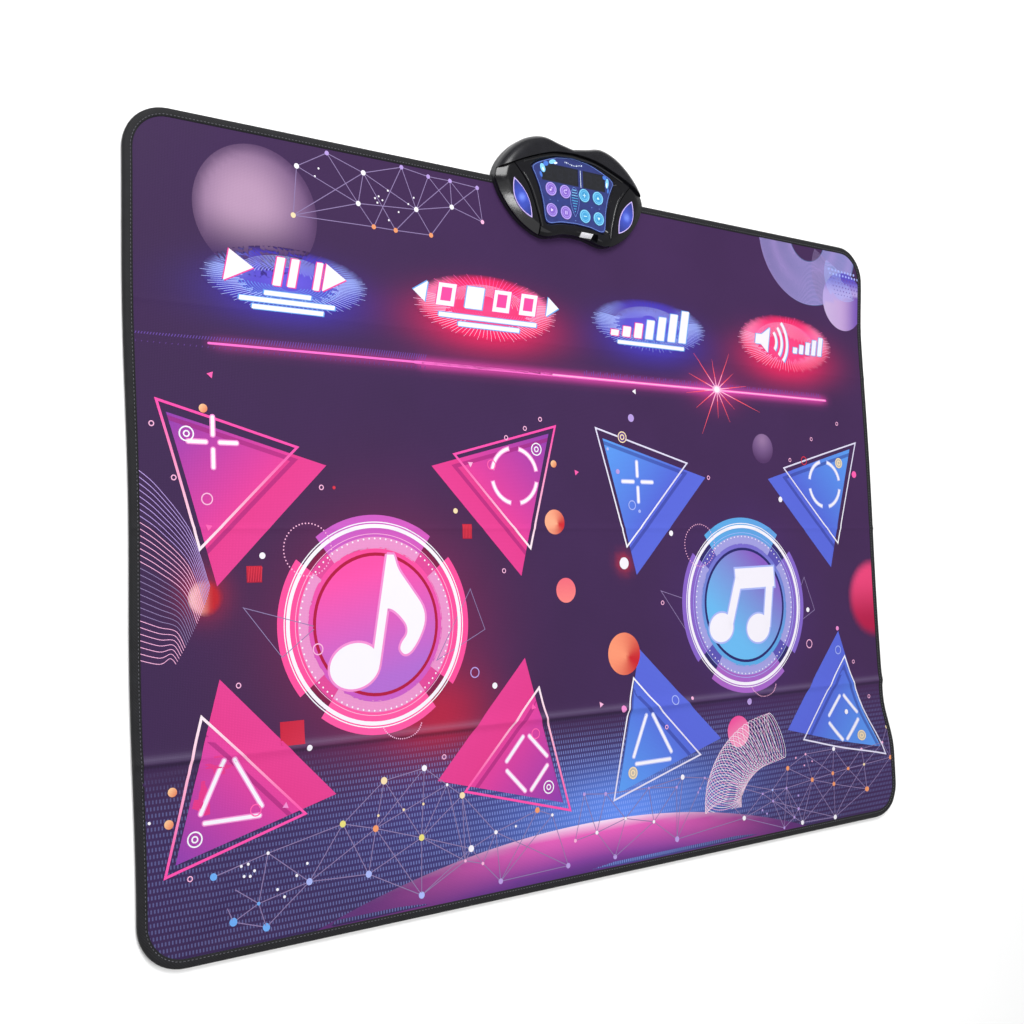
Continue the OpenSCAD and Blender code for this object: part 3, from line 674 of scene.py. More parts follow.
# The notes: a single one with its flag on the left, a joined pair on the right, each over a wider halo.
flag = [(-298.4, -30.8), (-289.4, -31)] + [tuple(p) for p in curved([
    (-288, -35), (-283, -49), (-267, -71), (-252.5, -92), (-250, -109), (-257, -127), (-269, -143), (-278.5, -147),
    (-284.5, -141), (-282, -133),
    (-275, -124), (-275, -113.8), (-283, -103), (-292.7, -95), (-300, -93)], 4)] + [(-313, -158), (-325, -152),
        (-319.7, -139)]
for grow, layer, ink in ((2.8, 6, "neonHalo"), (0, 7, "white")):
    layDown(disc(-345, -156.6, 32.5 + grow, 25.5 + grow, 40, 12), layer, ink)
    if grow:
        layDown(stroke(flag + flag[:2], 2 * grow), layer, ink)
    else:
        layDown(polygon(flag), layer, ink)
for grow, layer, ink in ((2.6, 6, "blueHalo"), (0, 7, "white")):
    layDown(bar((281 - grow, -73), (362 + grow, -71), 29 + 2 * grow, False), layer, ink)
    for top, foot, head in (((289, -70), (262, -140), (247, -141)), ((354, -70), (341, -144), (323, -145))):
        layDown(bar(top, foot, 14 + 2 * grow, False), layer, ink)
        layDown(disc(*head, 24 + grow, 20.5 + grow, 36, 12), layer, ink)
print("rings and notes laid")

# Control ovals: a lit oval with fine rays and loops, and slanted icons on it.
blueOval = {"tone": ("#6a5ce0", "#4336b8", "#8fa2ea"), "ray": "blueHalo", "farRay": "plum", "loop": "blue"}
pinkOval = {"tone": ("#ff4a8c", "#f51d60", "#ff8fb8"), "ray": "palePink", "farRay": "pink", "loop": "pink"}
ovals = [
    {"x": -415, "y": 278, "rx": 104, "ry": 38, **blueOval},
    {"x": -139, "y": 276, "rx": 111, "ry": 42, **pinkOval},
    {"x": 138, "y": 281, "rx": 108, "ry": 37, **blueOval},
    {"x": 417, "y": 281, "rx": 106, "ry": 44, **pinkOval},
]
for look in ovals:
    x, y, rx, ry = (look[key] for key in ("x", "y", "rx", "ry"))

    def ovalInk(px, py, x=x, y=y, rx=rx, ry=ry, look=look):
        d = math.hypot((px - x) / rx, (py - y) / ry)
        heart, body, wing = look["tone"]
        base = mix(heart, body, d * 1.2)
        base = mix(base, wing, 0.75 * ease((abs(px - x) / rx - 0.35) / 0.4) * ease((py - y + 12) / 20))
        return mix(base, tint(px, py), ease((d - 0.82) / 0.17))

    layDown(disc(x, y, rx, ry, 72), 0, ovalInk, step=6)
    for i in range(96):
        a = math.radians(i * 3.75 + 1.5)
        inner = 0.58 + 0.05 * math.sin(i * 1.7)
        outer = 0.95 + 0.05 * math.sin(i * 2.3)
        ends = [(x + rx * r * math.cos(a), y + ry * r * math.sin(a)) for r in (inner, outer)]
        layDown(stroke(ends, 1.0, 0.4), 1, look["ray"] if math.sin(a) < 0.35 else look["farRay"], step=60)
    for i in range(13):
        r = 14 + 4.2 * i
        layDown(ring(x - 2, y + 9 - 0.9 * i, r, r + 0.8, 12 if i % 2 else 0, 156 if i % 2 else 170, ry / rx * 1.25),
                1, look["ray"], step=60)
        layDown(ring(x + 2, y - 6 + 0.5 * i, r, r + 0.7, 190, 160, ry / rx * 1.1), 1, look["loop"], step=60)

lean = 0.22


# A slanted white shape, with a coloured edge that shows on both sides of it.
def icon(x, y, points, edge):
    slanted = [(x + px + lean * py, y + py) for px, py in points]
    for dx, dy, layer, ink in ((-1.3, 0.9, 6, edge), (1.4, -1.0, 6, edge), (0, 0, 7, "white")):
        layDown(polygon([(px + dx, py + dy) for px, py in slanted]), layer, ink, step=20)


def block(x0, y0, x1, y1):
    return [(x0, y0), (x1, y0), (x1, y1), (x0, y1)]


icon(-466, 284, [(-24, -14), (8, 4), (-24, 22)], "hotPink")
icon(-418, 284, block(-14, -13, -4, 20), "hotPink")
icon(-418, 284, block(4, -13, 14, 20), "hotPink")
icon(-366, 284, block(-16, -13, -8, 20), "hotPink")
icon(-366, 284, [(-4, -13), (24, 4), (-4, 20)], "hotPink")
for i, wide in enumerate((58, 118, 88)):
    icon(-416, 262 - 8.4 * i, block(-wide / 2, -3, wide / 2, 2.2), "blue")
for i in range(4):
    icon(-202 + 42 * i, 286, block(-13, -13, 13, 15), "hotPink" if i != 1 else "blue")
    if i != 1:
        heart = [(-202 + 42 * i + px + lean * py, 287 + py) for px, py in block(-7.5, -8, 7.5, 9)]
        layDown(polygon(heart), 8, "hotPink")
icon(-243, 287, [(12, -12), (12, 14), (-7, 1)], "blue")
icon(-33, 287, [(-12, -12), (-12, 14), (7, 1)], "blue")
for i, wide in enumerate((150, 94)):
    icon(-139, 262 - 9.5 * i, block(-wide / 2, -3, wide / 2, 2.6), "blue")
for i in range(7):
    icon(72 + 21 * i, 268, block(-7, -6, 7, 2 + 6.4 * i), "hotPink" if i < 3 else "blue")
icon(138, 254, block(-62, -2.6, 62, 2.4), "blue")
icon(366, 283, block(-16, -7, -4, 8), "blue")
icon(366, 283, [(-4, -7), (13, -19), (13, 20), (-4, 8)], "blue")
for i in range(3):
    r = 17 + 12 * i
    layDown(ring(376 + 1.5, 283 - 1.2, r, r + 5.4, -42, 84), 6, "blue")
    layDown(ring(376, 283, r, r + 5.4, -42, 84), 7, "white")
for i in range(5):
    icon(438 + 14 * i, 276, block(-4.6, -8, 4.6, 1 + 5 * i), "blue")
print("control ovals laid")

# Small dots, rings, arrows, squares and balls.
for x, y in ((-538, 100), (-72, 101), (-539, -322), (-75, -325)):
    layDown(ring(x, y, 6.8, 8.4), 8, "white")
    layDown(ring(x, y, 2.2, 3.8), 8, "white")
for x, y, ink in ((75, 123, "cream"), (524, 102, "gold"), (67, -324, "gold"), (533, -321, "gold")):
    layDown(disc(x, y, 8.2, segments=30), 8, ink if ink == "gold" else "plum")
    layDown(ring(x, y, 6.4, 7.9), 9, "cream")
    layDown(ring(x, y, 2.4, 4), 9, "cream")
for x, y, ink in ((-517, 31, "palePink"), (-143, 79, "pink"), (-471, -301, "pink"), (-92, -257, "pink"),
                  (87, 31, "blueHalo"), (149, -235, "blueHalo"), (497, -187, "blueHalo"), (443, 103, "red"),
                  (-391, -135, "palePink"), (-181, -175, "lilac"), (432, -174, "palePink")):
    layDown(ring(x, y, 5.3, 6.7), 8, ink)
for x, y, ink, turn in ((-516, 1, "pink", 20), (-175, 79, "palePink", -90), (-436, -301, "neonHalo", 80),
                        (-94, -224, "pink", 100), (-510, 165, "pink", -70), (102, 187, "white", -60),
                        (-8, 73, "pink", 10), (17, -230, "palePink", 0)):
    angles = [math.radians(a + turn) for a in (0, 120, 240)]
    layDown(polygon([(x + 4.3 * math.cos(a), y + 4.3 * math.sin(a)) for a in angles]), 8, ink)
for x, y in ((-575, 109), (-381, 46), (-64, 140), (-89, 127), (-119, 114), (-131, -53), (-229, -271), (-545, -361),
             (236, 72), (135, -102), (411, 103), (531, -207), (563, -263), (525, 164), (463, 137), (-553, 53),
             (-487, -168), (132, -270)):
    layDown(ring(x, y, 1.9, 3.1), 8, "palePink")
for x, y, r, ink in ((-200, 21, 3.3, "cream"), (-455, -30, 3.6, "white"), (-152, -193, 3.8, "white"),
                     (-406, -242, 3.4, "white"), (157, -7, 3.8, "white"), (385, 43, 4.2, "white"),
                     (433, -123, 3.6, "white"), (508, -282, 3.8, "white"), (68, -47, 8, "white"),
                     (295, -249, 4.6, "lilac"), (93, 150, 5.4, "lilac"), (55, -239, 4.6, "neonHalo"),
                     (559, 85, 5.4, "pink"), (48, 106, 2.2, "blueHalo"), (-365, 46, 2, "red"),
                     (181, -235, 2.4, "palePink"), (498, -154, 3.4, "neonHalo"), (64, 76, 3.4, "lilac"),
                     (100, 23, 2.4, "blueHalo")):
    layDown(disc(x, y, r, segments=18), 8, ink)
layDown(disc(-33, -80, 16, segments=36), 2, fade((-33, -62), (-33, -98), "#f2687c", "#ff8a86"), step=8)
layDown(disc(-47, 8, 16, segments=40), 2, cone(-43, 6, "#ffb08c", "#cf2430", 165), step=4)
layDown(disc(62, -167, 28, segments=48), 2, cone(68, -171, "#ff9a76", "#cc1f2c", 160), step=4)


def redSphere(x, y):
    return mix(mix("#f6c2bc", "#c01c2a", (x + 537) / 22), tint(x, y), ease((math.hypot(x + 522, y + 74) - 13) / 8))


layDown(disc(-520, -74, 20, segments=36), 0, redSphere, step=4)
layDown(disc(270, -289, 22, segments=40), 2, fade((262, -268), (278, -310), "#f0489c", "#f79cc0"), step=8)
for x, y in ((-519, 128), (-45, 83), (-566, -303), (-561, -271)):
    layDown(disc(x, y, 4.8, segments=20), 8, fade((x - 5, y + 4), (x + 5, y - 4), "#ffd2a0", "#e2704a"))
layDown(polygon(block(-440, -237, -411, -211)), 1, fade((-440, -211), (-411, -237), "#c61c3c", "#d02a4a"))
for x, y, w, h, flip in ((-465, -50, 18, 18, 1), (-184, -4, 14, 18, 0)):
    square = polygon(block(x - w / 2, y - h / 2, x + w / 2, y + h / 2))
    layDown(square, 1, fade((x, y + 9), (x, y - 9), "#c8203c", "#a8163a"))
    for i in range(6):
        px = x - w / 2 + 1.6 + i * (w - 3.2) / 5
        layDown(bar((px, y - h / 2 + 1), (px + 2 * flip, y + h / 2 - 1), 1, False), 2, "red", step=60)

# Dotted circles and thin wire triangles beside each player's ring.
for shift in (0, 612):
    for i in range(46):
        a = math.radians(i * 360 / 46)
        dot = disc(-400 + shift + 29.5 * math.cos(a), -24 + 29.5 * math.sin(a), 0.95, segments=6)
        layDown(dot, 7, "palePink", step=60)
    for i in range(24):
        a = math.radians(200 + i * 6.2)
        layDown(disc(-285 + shift + 27 * math.cos(a), -222 + 22 * math.sin(a), 0.9, segments=6), 4, "palePink", step=60)
    for wire in (((-480, -85), (-391, -110), (-435, -142)), ((-183, -73), (-163, -124), (-236, -158))):
        layDown(frameOf([(x + shift, y) for x, y in wire], 0.9), 1 if shift else 4, "dimLilac", step=60)

# Networks: dots of several inks, each joined to its nearest neighbours by a thin line. Only larger dots are joined.
networks = [
    [(-400, 413, 3, "white"), (-313, 420, 3, "white"), (-321, 382, 3, "white"), (-241, 387, 3, "white"),
     (-189, 398, 3, "white"), (-361, 435, 2.6, "lilac"), (-260, 436, 2.6, "lilac"), (-222, 431, 2.6, "lilac"),
     (-190, 431, 2.6, "lilac"), (-149, 429, 2.6, "lilac"), (-406, 355, 3, "cream"), (-301, 357, 2.8, "orange"),
     (-271, 357, 2.8, "orange"), (-221, 358, 2.8, "orange"), (-143, 386, 2.6, "palePink"), (-372, 415, 1.2, "white"),
     (-377, 405, 1.2, "white"), (-298, 392, 1.2, "white"), (-293, 395, 1.2, "white"), (-288, 391, 1.2, "white"),
     (-295, 387, 1.2, "white"), (-280, 404, 1.3, "white"), (-252, 392, 1.2, "white"), (-244, 401, 1.2, "white"),
     (-266, 380, 1.2, "white"), (-280, 368, 1.2, "white")],
    [(-312, -289, 4, "cream"), (-205, -319, 3.6, "cream"), (-367, -330, 3.6, "yellow"), (-264, -360, 3.6, "yellow"),
     (-325, -341, 3.6, "orange"), (-94, -351, 3.4, "orange"), (-520, -363, 3.6, "blue"), (-499, -413, 4.2, "blue"),
     (-462, -425, 4, "blue"), (-410, -386, 3.6, "blueHalo"), (-336, -390, 3.8, "blueHalo"),
     (-267, -425, 3.8, "blueHalo"), (-257, -281, 3.4, "white"), (-195, -383, 3.8, "white"),
     (-154, -428, 3.2, "lilac"), (-49, -426, 3.2, "lilac"), (-586, -299, 1.6, "white"), (-458, -348, 1.8, "white"),
     (-489, -357, 1.6, "white"), (-481, -356, 1.6, "white"), (-486, -368, 1.6, "white"), (-479, -369, 1.6, "white"),
     (-474, -364, 1.6, "white"), (-425, -377, 1.6, "white"), (-412, -366, 1.6, "white"), (-440, -397, 1.6, "white"),
     (-448, -388, 1.6, "white"), (-470, -399, 2, "blue"), (-287, -325, 1.6, "cream"), (-260, -322, 1.6, "cream"),
     (-321, -327, 1.6, "cream"), (-226, -304, 1.8, "white"), (-158, -369, 2.4, "white"), (-128, -366, 1.6, "white"),
     (-71, -360, 2, "white"), (-204, -396, 1.8, "palePink"), (-179, -403, 2, "palePink")],
    [(157, -340, 3.4, "white"), (475, -335, 3, "white"), (273, -411, 3.2, "white"), (395, -434, 3.2, "white"),
     (469, -436, 3.4, "white"), (141, -421, 3.6, "lilac"), (29, -427, 3, "lilac"), (369, -352, 3.2, "orange"),
     (422, -375, 3.2, "orange"), (470, -371, 2.8, "orange"), (471, -387, 3, "orange"), (502, -368, 2.4, "orange"),
     (535, -404, 3.6, "orange"), (588, -362, 3.2, "orange"), (18, -345, 2.4, "lilac"), (-18, -341, 2.2, "lilac"),
     (94, -347, 1.8, "lilac"), (145, -352, 2, "lilac"), (199, -346, 1.8, "lilac"), (185, -364, 1.6, "lilac"),
     (189, -359, 1.6, "lilac"), (313, -382, 1.8, "lilac"), (334, -395, 2, "lilac"), (334, -379, 1.8, "blueHalo"),
     (378, -424, 2, "lilac"), (388, -413, 2.2, "lilac"), (389, -394, 1.6, "lilac"), (364, -380, 1.8, "lilac"),
     (388, -339, 1.6, "palePink"), (410, -336, 1.8, "palePink"), (406, -352, 1.4, "palePink"),
     (424, -348, 1.4, "palePink"), (532, -366, 2, "cream"), (529, -342, 2, "palePink"), (572, -337, 2, "palePink"),
     (590, -314, 2.6, "cream"), (0, -392, 2.4, "white"), (50, -381, 2, "white"), (100, -392, 2.2, "white"),
     (-36, -397, 2.2, "palePink"), (355, -436, 2, "lilac"), (311, -405, 1.6, "lilac"), (320, -411, 1.6, "lilac")],
]
joined = {"least": 1.7, "longest": 165, "clear": 0.33}
for dots in networks:
    knots = [Vector(d[:2]) for d in dots if d[2] > joined["least"]]
    for i, a in enumerate(knots):
        for b in knots[:i]:
            middle, span = (a + b) / 2, (a - b).length
            # A thread is drawn where no other dot stands near its middle.
            others = [c for c in knots if c is not a and c is not b]
            if span < joined["longest"] and not any((c - middle).length < joined["clear"] * span for c in others):
                layDown(bar(a, b, 1.0, False), 3, "dimLilac", step=40)
    for x, y, r, ink in dots:
        layDown(disc(x, y, r * 1.06, segments=16 if r > 2 else 8), 4, ink)
print("small print laid")


# Makes a scene object of finished work.
def asPiece(work, name, finishes=()):
    mesh = bpy.data.meshes.new(name)
    work.to_mesh(mesh)
    work.free()
    for finish in finishes:
        mesh.materials.append(finish)
    piece = bpy.data.objects.new(name, mesh)
    bpy.context.scene.collection.objects.link(piece)
    return piece


# Turns flat work in millimetres into a piece that lies on the cloth, in the shared frame.
def drape(work, name, finishes, offset=0.1):
    for v in work.verts:
        x, y, z = v.co
        v.co = toFrame(swell(x, y), y, clothHeight(x, y) + z + offset)
    flat = work.loops.layers.uv.new("cloth")
    work.normal_update()
    for f in work.faces:
        if f.normal.z < 0:
            f.normal_flip()
        f.smooth = True
        for loop in f.loops:
            loop[flat].uv = loop.vert.co.xy
    return asPiece(work, name, finishes)


# How far a zone reaches each side of a crease, and the bodies on its two sides with the crease's place.
foldZone = {"cloth": 4, "back": 10}
bodiesAt = {"Far": ("mat_upper", "mat_middle", 0), "Near": ("mat_middle", "mat_lower", -240)}


def crossFold(piece, end, zone):
    above, below, crease = bodiesAt[end]
    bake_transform(piece)


# Cuts work at the middle panel's halfway line, so each half crosses one fold.
def halves(work):
    split = mat["split"]
    for end, keep in (("Far", 1), ("Near", -1)):
        half = work.copy()
        sliceAt(half, (0, split, 0), (0, 1, 0))
        away = [f for f in half.faces if (f.calc_center_median().y - split) * keep < 0]
        bmesh.ops.delete(half, geom=away, context="FACES")
        yield end, half
    work.free()


# The mat's plan, drawn in by an inset.
def roundedSheet(inset):
    w, far, near, r = mat["halfWidth"] - inset, mat["far"] - inset, mat["near"] + inset, mat["corner"] - inset
    sheet = polygon([(-w, near), (w, near), (w, far), (-w, far)])
    bmesh.ops.bevel(sheet, geom=sheet.verts[:], affect="VERTICES", offset=r, segments=10, profile=0.5, material=-1)
    return sheet


# Extra cuts keep the glow along the laser line and the hem's roll sharp.
cloth = {
    "inset": 3, "grid": 10, "soak": 0.84, "printInset": 8.5,
    "cuts": (187, 192, 196, 199, 203, 207, 212, -441, -437, -433, -429, -425),
}
work = roundedSheet(cloth["inset"])
cutToCloth(work, cloth["grid"])
for line in cloth["cuts"]:
    sliceAt(work, (0, line, 0), (0, 1, 0))
tintLayer = work.verts.layers.float_color.new("tint")
dashLayer = work.verts.layers.float.new("dash")
for v in work.verts:
    v[tintLayer] = printed(tint(v.co.x, v.co.y), cloth["soak"])
    v[dashLayer] = dashes(v.co.x, v.co.y)
covers = {}
for end, half in halves(work):
    covers[end] = drape(half, "cover" + end, [clothFinish], offset=0)
    crossFold(covers[end], end, foldZone["cloth"])
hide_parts("cover_upper", "cover_middle")
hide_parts("cover_lower")
prints = {"Far": [], "Near": []}
for label, sheet, used in (("Lines", sheetOfLines, [inkMaterials[n] for n in inkNames]),
                           ("Fills", sheetOfFills, [fillInk])):
    # The print stops short of the binding, on straight sides and round the corners.
    r = mat["corner"] - cloth["printInset"]
    for angle in range(0, 360, 15):
        a = math.radians(angle)
        normal = Vector((math.cos(a), math.sin(a), 0))
        side = Vector((math.copysign(mat["halfWidth"] - mat["corner"], normal.x),
                       (mat["far"] if normal.y > 0 else mat["near"]) - math.copysign(mat["corner"], normal.y), 0))
        sliceAt(sheet, side + normal * r, normal, True)
    for end, half in halves(sheet):
        piece = drape(half, "print" + label + end, used)
        crossFold(piece, end, foldZone["cloth"])
        prints[end].append(piece)
print("cover cut, draped and printed")

# Binding: woven tape folded over the edge in a soft U, sewn through with one row of stitches.
tape = {"wide": 10.5, "over": 0.9, "pitch": 4.2, "stitch": 2.6, "inFrom": 2.6}


# Woven polyester tape: matt near black, with slanting ribs 1.5 mm apart.
def tapeFinish():
    made, tree, shader = newMaterial("bindingTape", {
        "Base Color": "#141417", "Roughness": 0.7, "Sheen Weight": 0.05, "Sheen Roughness": 0.5,
        "Specular IOR Level": 0.25})
    uv = add(tree, "UVMap", uv_map="cloth").outputs["UV"]
    ribs = add(tree, "TexWave", {"Vector": uv, "Scale": lineScale(pitches["tapeRib"]), "Distortion": 0.6},
               bands_direction="DIAGONAL").outputs["Fac"]
    dust = add(tree, "TexNoise", {"Vector": uv, "Scale": 60, "Detail": 3}).outputs["Fac"]
    tone = add(tree, "Mix", {0: dust, 6: linear("#101012"), 7: linear("#1d1d21")}, data_type="RGBA").outputs[2]
    rough = add(tree, "MapRange", {"Value": ribs, "To Min": 0.8, "To Max": 0.6}).outputs[0]
    dress(tree, shader, tone, rough, ribs, 0.5, 0.0003)
    return made


# Sewing thread: twisted polyester, a little brighter than the tape it is sunk in.
def threadFinish():
    made, tree, shader = newMaterial("sewingThread", {"Base Color": "#2c2c31", "Roughness": 0.6, "Sheen Weight": 0.05})
    uv = add(tree, "UVMap", uv_map="cloth").outputs["UV"]
    twist = add(tree, "TexWave", {"Vector": uv, "Scale": lineScale(pitches["sewing"])},
                bands_direction="DIAGONAL").outputs["Fac"]
    tone = add(tree, "Mix", {0: twist, 6: linear("#3e3e44"), 7: linear("#6a6a72")}, data_type="RGBA").outputs[2]
    dress(tree, shader, tone, None, twist, 0.4, 0.0002)
    return made


# Round the mat: a section is swept along one long side and one corner, four times.
def sweepTape():
    work = bmesh.new()
    w, far, near, r = mat["halfWidth"], mat["far"], mat["near"], mat["corner"]
    top, wide, over = mat["top"], tape["wide"], tape["over"]
    section = [(-wide, top - 0.5), (-wide + 0.3, top + over * 0.6), (-wide * 0.72, top + over),
               (-wide * 0.36, top + over + 0.1), (-1.6, top + over - 0.5),
               (-0.35, top - 0.7), (0, 3.4), (-0.35, 1.2), (-1.4, 0.25), (-wide * 0.5, 0), (-wide, 0), (-wide, 0.9),
               (-3.2, 1.1), (-2.4, 2), (-2.4, top - 1.4), (-3.4, top - 0.6)]
    verts = [work.verts.new((w + o, near + r, z)) for o, z in section]
    edges = [work.edges.new(pair) for pair in zip(verts, verts[1:] + verts[:1])]
    corners = [(w - r, far - r), (-w + r, far - r), (-w + r, near + r), (w - r, near + r)]
    runs = [(0, far - near - 2 * r), (-2 * w + 2 * r, 0), (0, near - far + 2 * r), (2 * w - 2 * r, 0)]
    for (cx, cy), (dx, dy) in zip(corners, runs):
        made = bmesh.ops.extrude_edge_only(work, edges=edges)["geom"]
        bmesh.ops.translate(work, vec=(dx, dy, 0), verts=[g for g in made if isinstance(g, bmesh.types.BMVert)])
        edges = [g for g in made if isinstance(g, bmesh.types.BMEdge)]
        line = edges + list(dict.fromkeys(v for e in edges for v in e.verts))
        made = bmesh.ops.spin(work, geom=line, cent=(cx, cy, 0), axis=(0, 0, 1), angle=math.pi / 2, steps=12)
        edges = [g for g in made["geom_last"] if isinstance(g, bmesh.types.BMEdge)]
    bmesh.ops.remove_doubles(work, verts=work.verts, dist=0.01)
    bmesh.ops.recalc_face_normals(work, faces=work.faces)
    return work


# Turns work with its own height into a piece. What lies above half the mat follows the cloth.
def placed(work, name, finishes, smooth=True):
    uv = work.loops.layers.uv.new("cloth")
    for v in work.verts:
        x, y, z = v.co
        if z > 3:
            z += (clothHeight(x, y) - mat["top"]) * min(1, (z - 3) / 3)
        v.co = toFrame(swell(x, y), y, z)
    for f in work.faces:
        f.smooth = smooth
        for loop in f.loops:
            loop[uv].uv = (loop.vert.co.x, loop.vert.co.y + loop.vert.co.z)
    return asPiece(work, name, finishes)


bindingTape = tapeFinish()
stitchThread = threadFinish()
work = sweepTape()
cutToCloth(work, 12)
for end, half in halves(work):
    piece = placed(half, "binding" + end, [bindingTape])
    crossFold(piece, end, foldZone["back"])
    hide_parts(*(("binding_upper", "binding_middle") if end == "Far" else ("binding_lower",)))
    prints[end].append(piece)

# Stitches, one after another round the mat. What is left of one run is carried to the next.
work = bmesh.new()
inset = tape["wide"] - tape["inFrom"]
w, far, near, r = mat["halfWidth"] - inset, mat["far"] - inset, mat["near"] + inset, mat["corner"] - inset
corners = [((w - r, far - r), 0), ((-w + r, far - r), 90), ((-w + r, near + r), 180), ((w - r, near + r), 270)]
path = []
for (cx, cy), start in corners:
    for i in range(13):
        a = math.radians(start + i * 7.5)
        path.append(Vector((cx + r * math.cos(a), cy + r * math.sin(a))))
path.append(path[0])
carried = 0
for a, b in zip(path, path[1:]):
    long, at = (b - a).length, carried
    way = (b - a).normalized()
    while at < long:
        p = a + way * at
        turn = Matrix.Rotation(math.atan2(way.y, way.x), 4, "Z")
        spotOnTape = Matrix.Translation((*p, mat["top"] + tape["over"] + 0.02))
        place = spotOnTape @ turn @ Matrix.Diagonal((tape["stitch"] / 2, 0.42, 0.3, 1))
        stitch = bmesh.new()
        bmesh.ops.create_uvsphere(stitch, u_segments=6, v_segments=4, radius=1, matrix=place)
        stitch.to_mesh(scratch)
        stitch.free()
        work.from_mesh(scratch)
        at += tape["pitch"]
    carried = at - long
for end, half in halves(work):
    piece = placed(half, "bindingStitches" + end, [stitchThread])
    crossFold(piece, end, foldZone["cloth"])
    prints[end].append(piece)


# Non-slip backing: calendered rubber cloth with raised grip dots 5 mm apart.
def backingFinish():
    made, tree, shader = newMaterial("gripBacking", {"Base Color": "#26262a", "Roughness": 0.85})
    uv = add(tree, "UVMap", uv_map="cloth").outputs["UV"]
    cells = add(tree, "TexVoronoi", {"Vector": uv, "Scale": 1 / (pitches["gripDot"] * mm),
                                     "Randomness": 0.0}).outputs["Distance"]
    edge = {"Value": cells, "From Min": 0.2, "From Max": 0.34, "To Min": 1, "To Max": 0}
    dots = add(tree, "MapRange", edge).outputs[0]
    tone = add(tree, "Mix", {0: dots, 6: linear("#222226"), 7: linear("#3a3a40")}, data_type="RGBA").outputs[2]
    rough = add(tree, "MapRange", {"Value": dots, "To Min": 0.9, "To Max": 0.65}).outputs[0]
    dress(tree, shader, tone, rough, dots, 0.6, 0.0004)
    return made


gripBacking = backingFinish()
work = roundedSheet(8)
bmesh.ops.translate(work, vec=(0, 0, 0.12), verts=work.verts)
cutToCloth(work, 30)
work.normal_update()
bmesh.ops.reverse_faces(work, faces=[f for f in work.faces if f.normal.z > 0])
backings = {}
for end, half in halves(work):
    backings[end] = placed(half, "backing" + end, [gripBacking], smooth=False)
    crossFold(backings[end], end, foldZone["back"])
    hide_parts(*(("backing_upper", "backing_middle") if end == "Far" else ("backing_lower",)))

for end in ("Far", "Near"):
    wide = 2 * mat["halfWidth"] * mm
    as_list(prints[end])
print("binding, stitches and backing made")


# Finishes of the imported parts, by what each is made of. Grain and depth are in millimetres.
def grained(name, code, code2, rough, grain, depth, values=None, spread=0.12):
    made, tree, shader = newMaterial(name, {"Base Color": code, "Roughness": rough, **(values or {})})
    place = add(tree, "TexCoord").outputs["Object"]
    noise = add(tree, "TexNoise", {"Vector": place, "Scale": 1 / (grain * mm), "Detail": 3,
                                   "Roughness": 0.6}).outputs["Fac"]
    wide = add(tree, "TexNoise", {"Vector": place, "Scale": 1 / (grain * 24 * mm), "Detail": 2}).outputs["Fac"]
    both = add(tree, "Math", {0: noise, 1: wide}, operation="MULTIPLY").outputs[0]
    share = add(tree, "MapRange", {"Value": both, "From Min": 0.12, "From Max": 0.4}).outputs[0]
    tone = add(tree, "Mix", {0: share, 6: linear(code), 7: linear(code2)}, data_type="RGBA").outputs[2]
    low, high = max(rough - spread / 2, 0.02), rough + spread / 2
    uneven = {"Value": noise, "From Min": 0.3, "From Max": 0.7, "To Min": low, "To Max": high}
    dulled = add(tree, "MapRange", uneven).outputs[0]
    dress(tree, shader, tone, dulled, noise, 0.35, depth * mm)
    return made


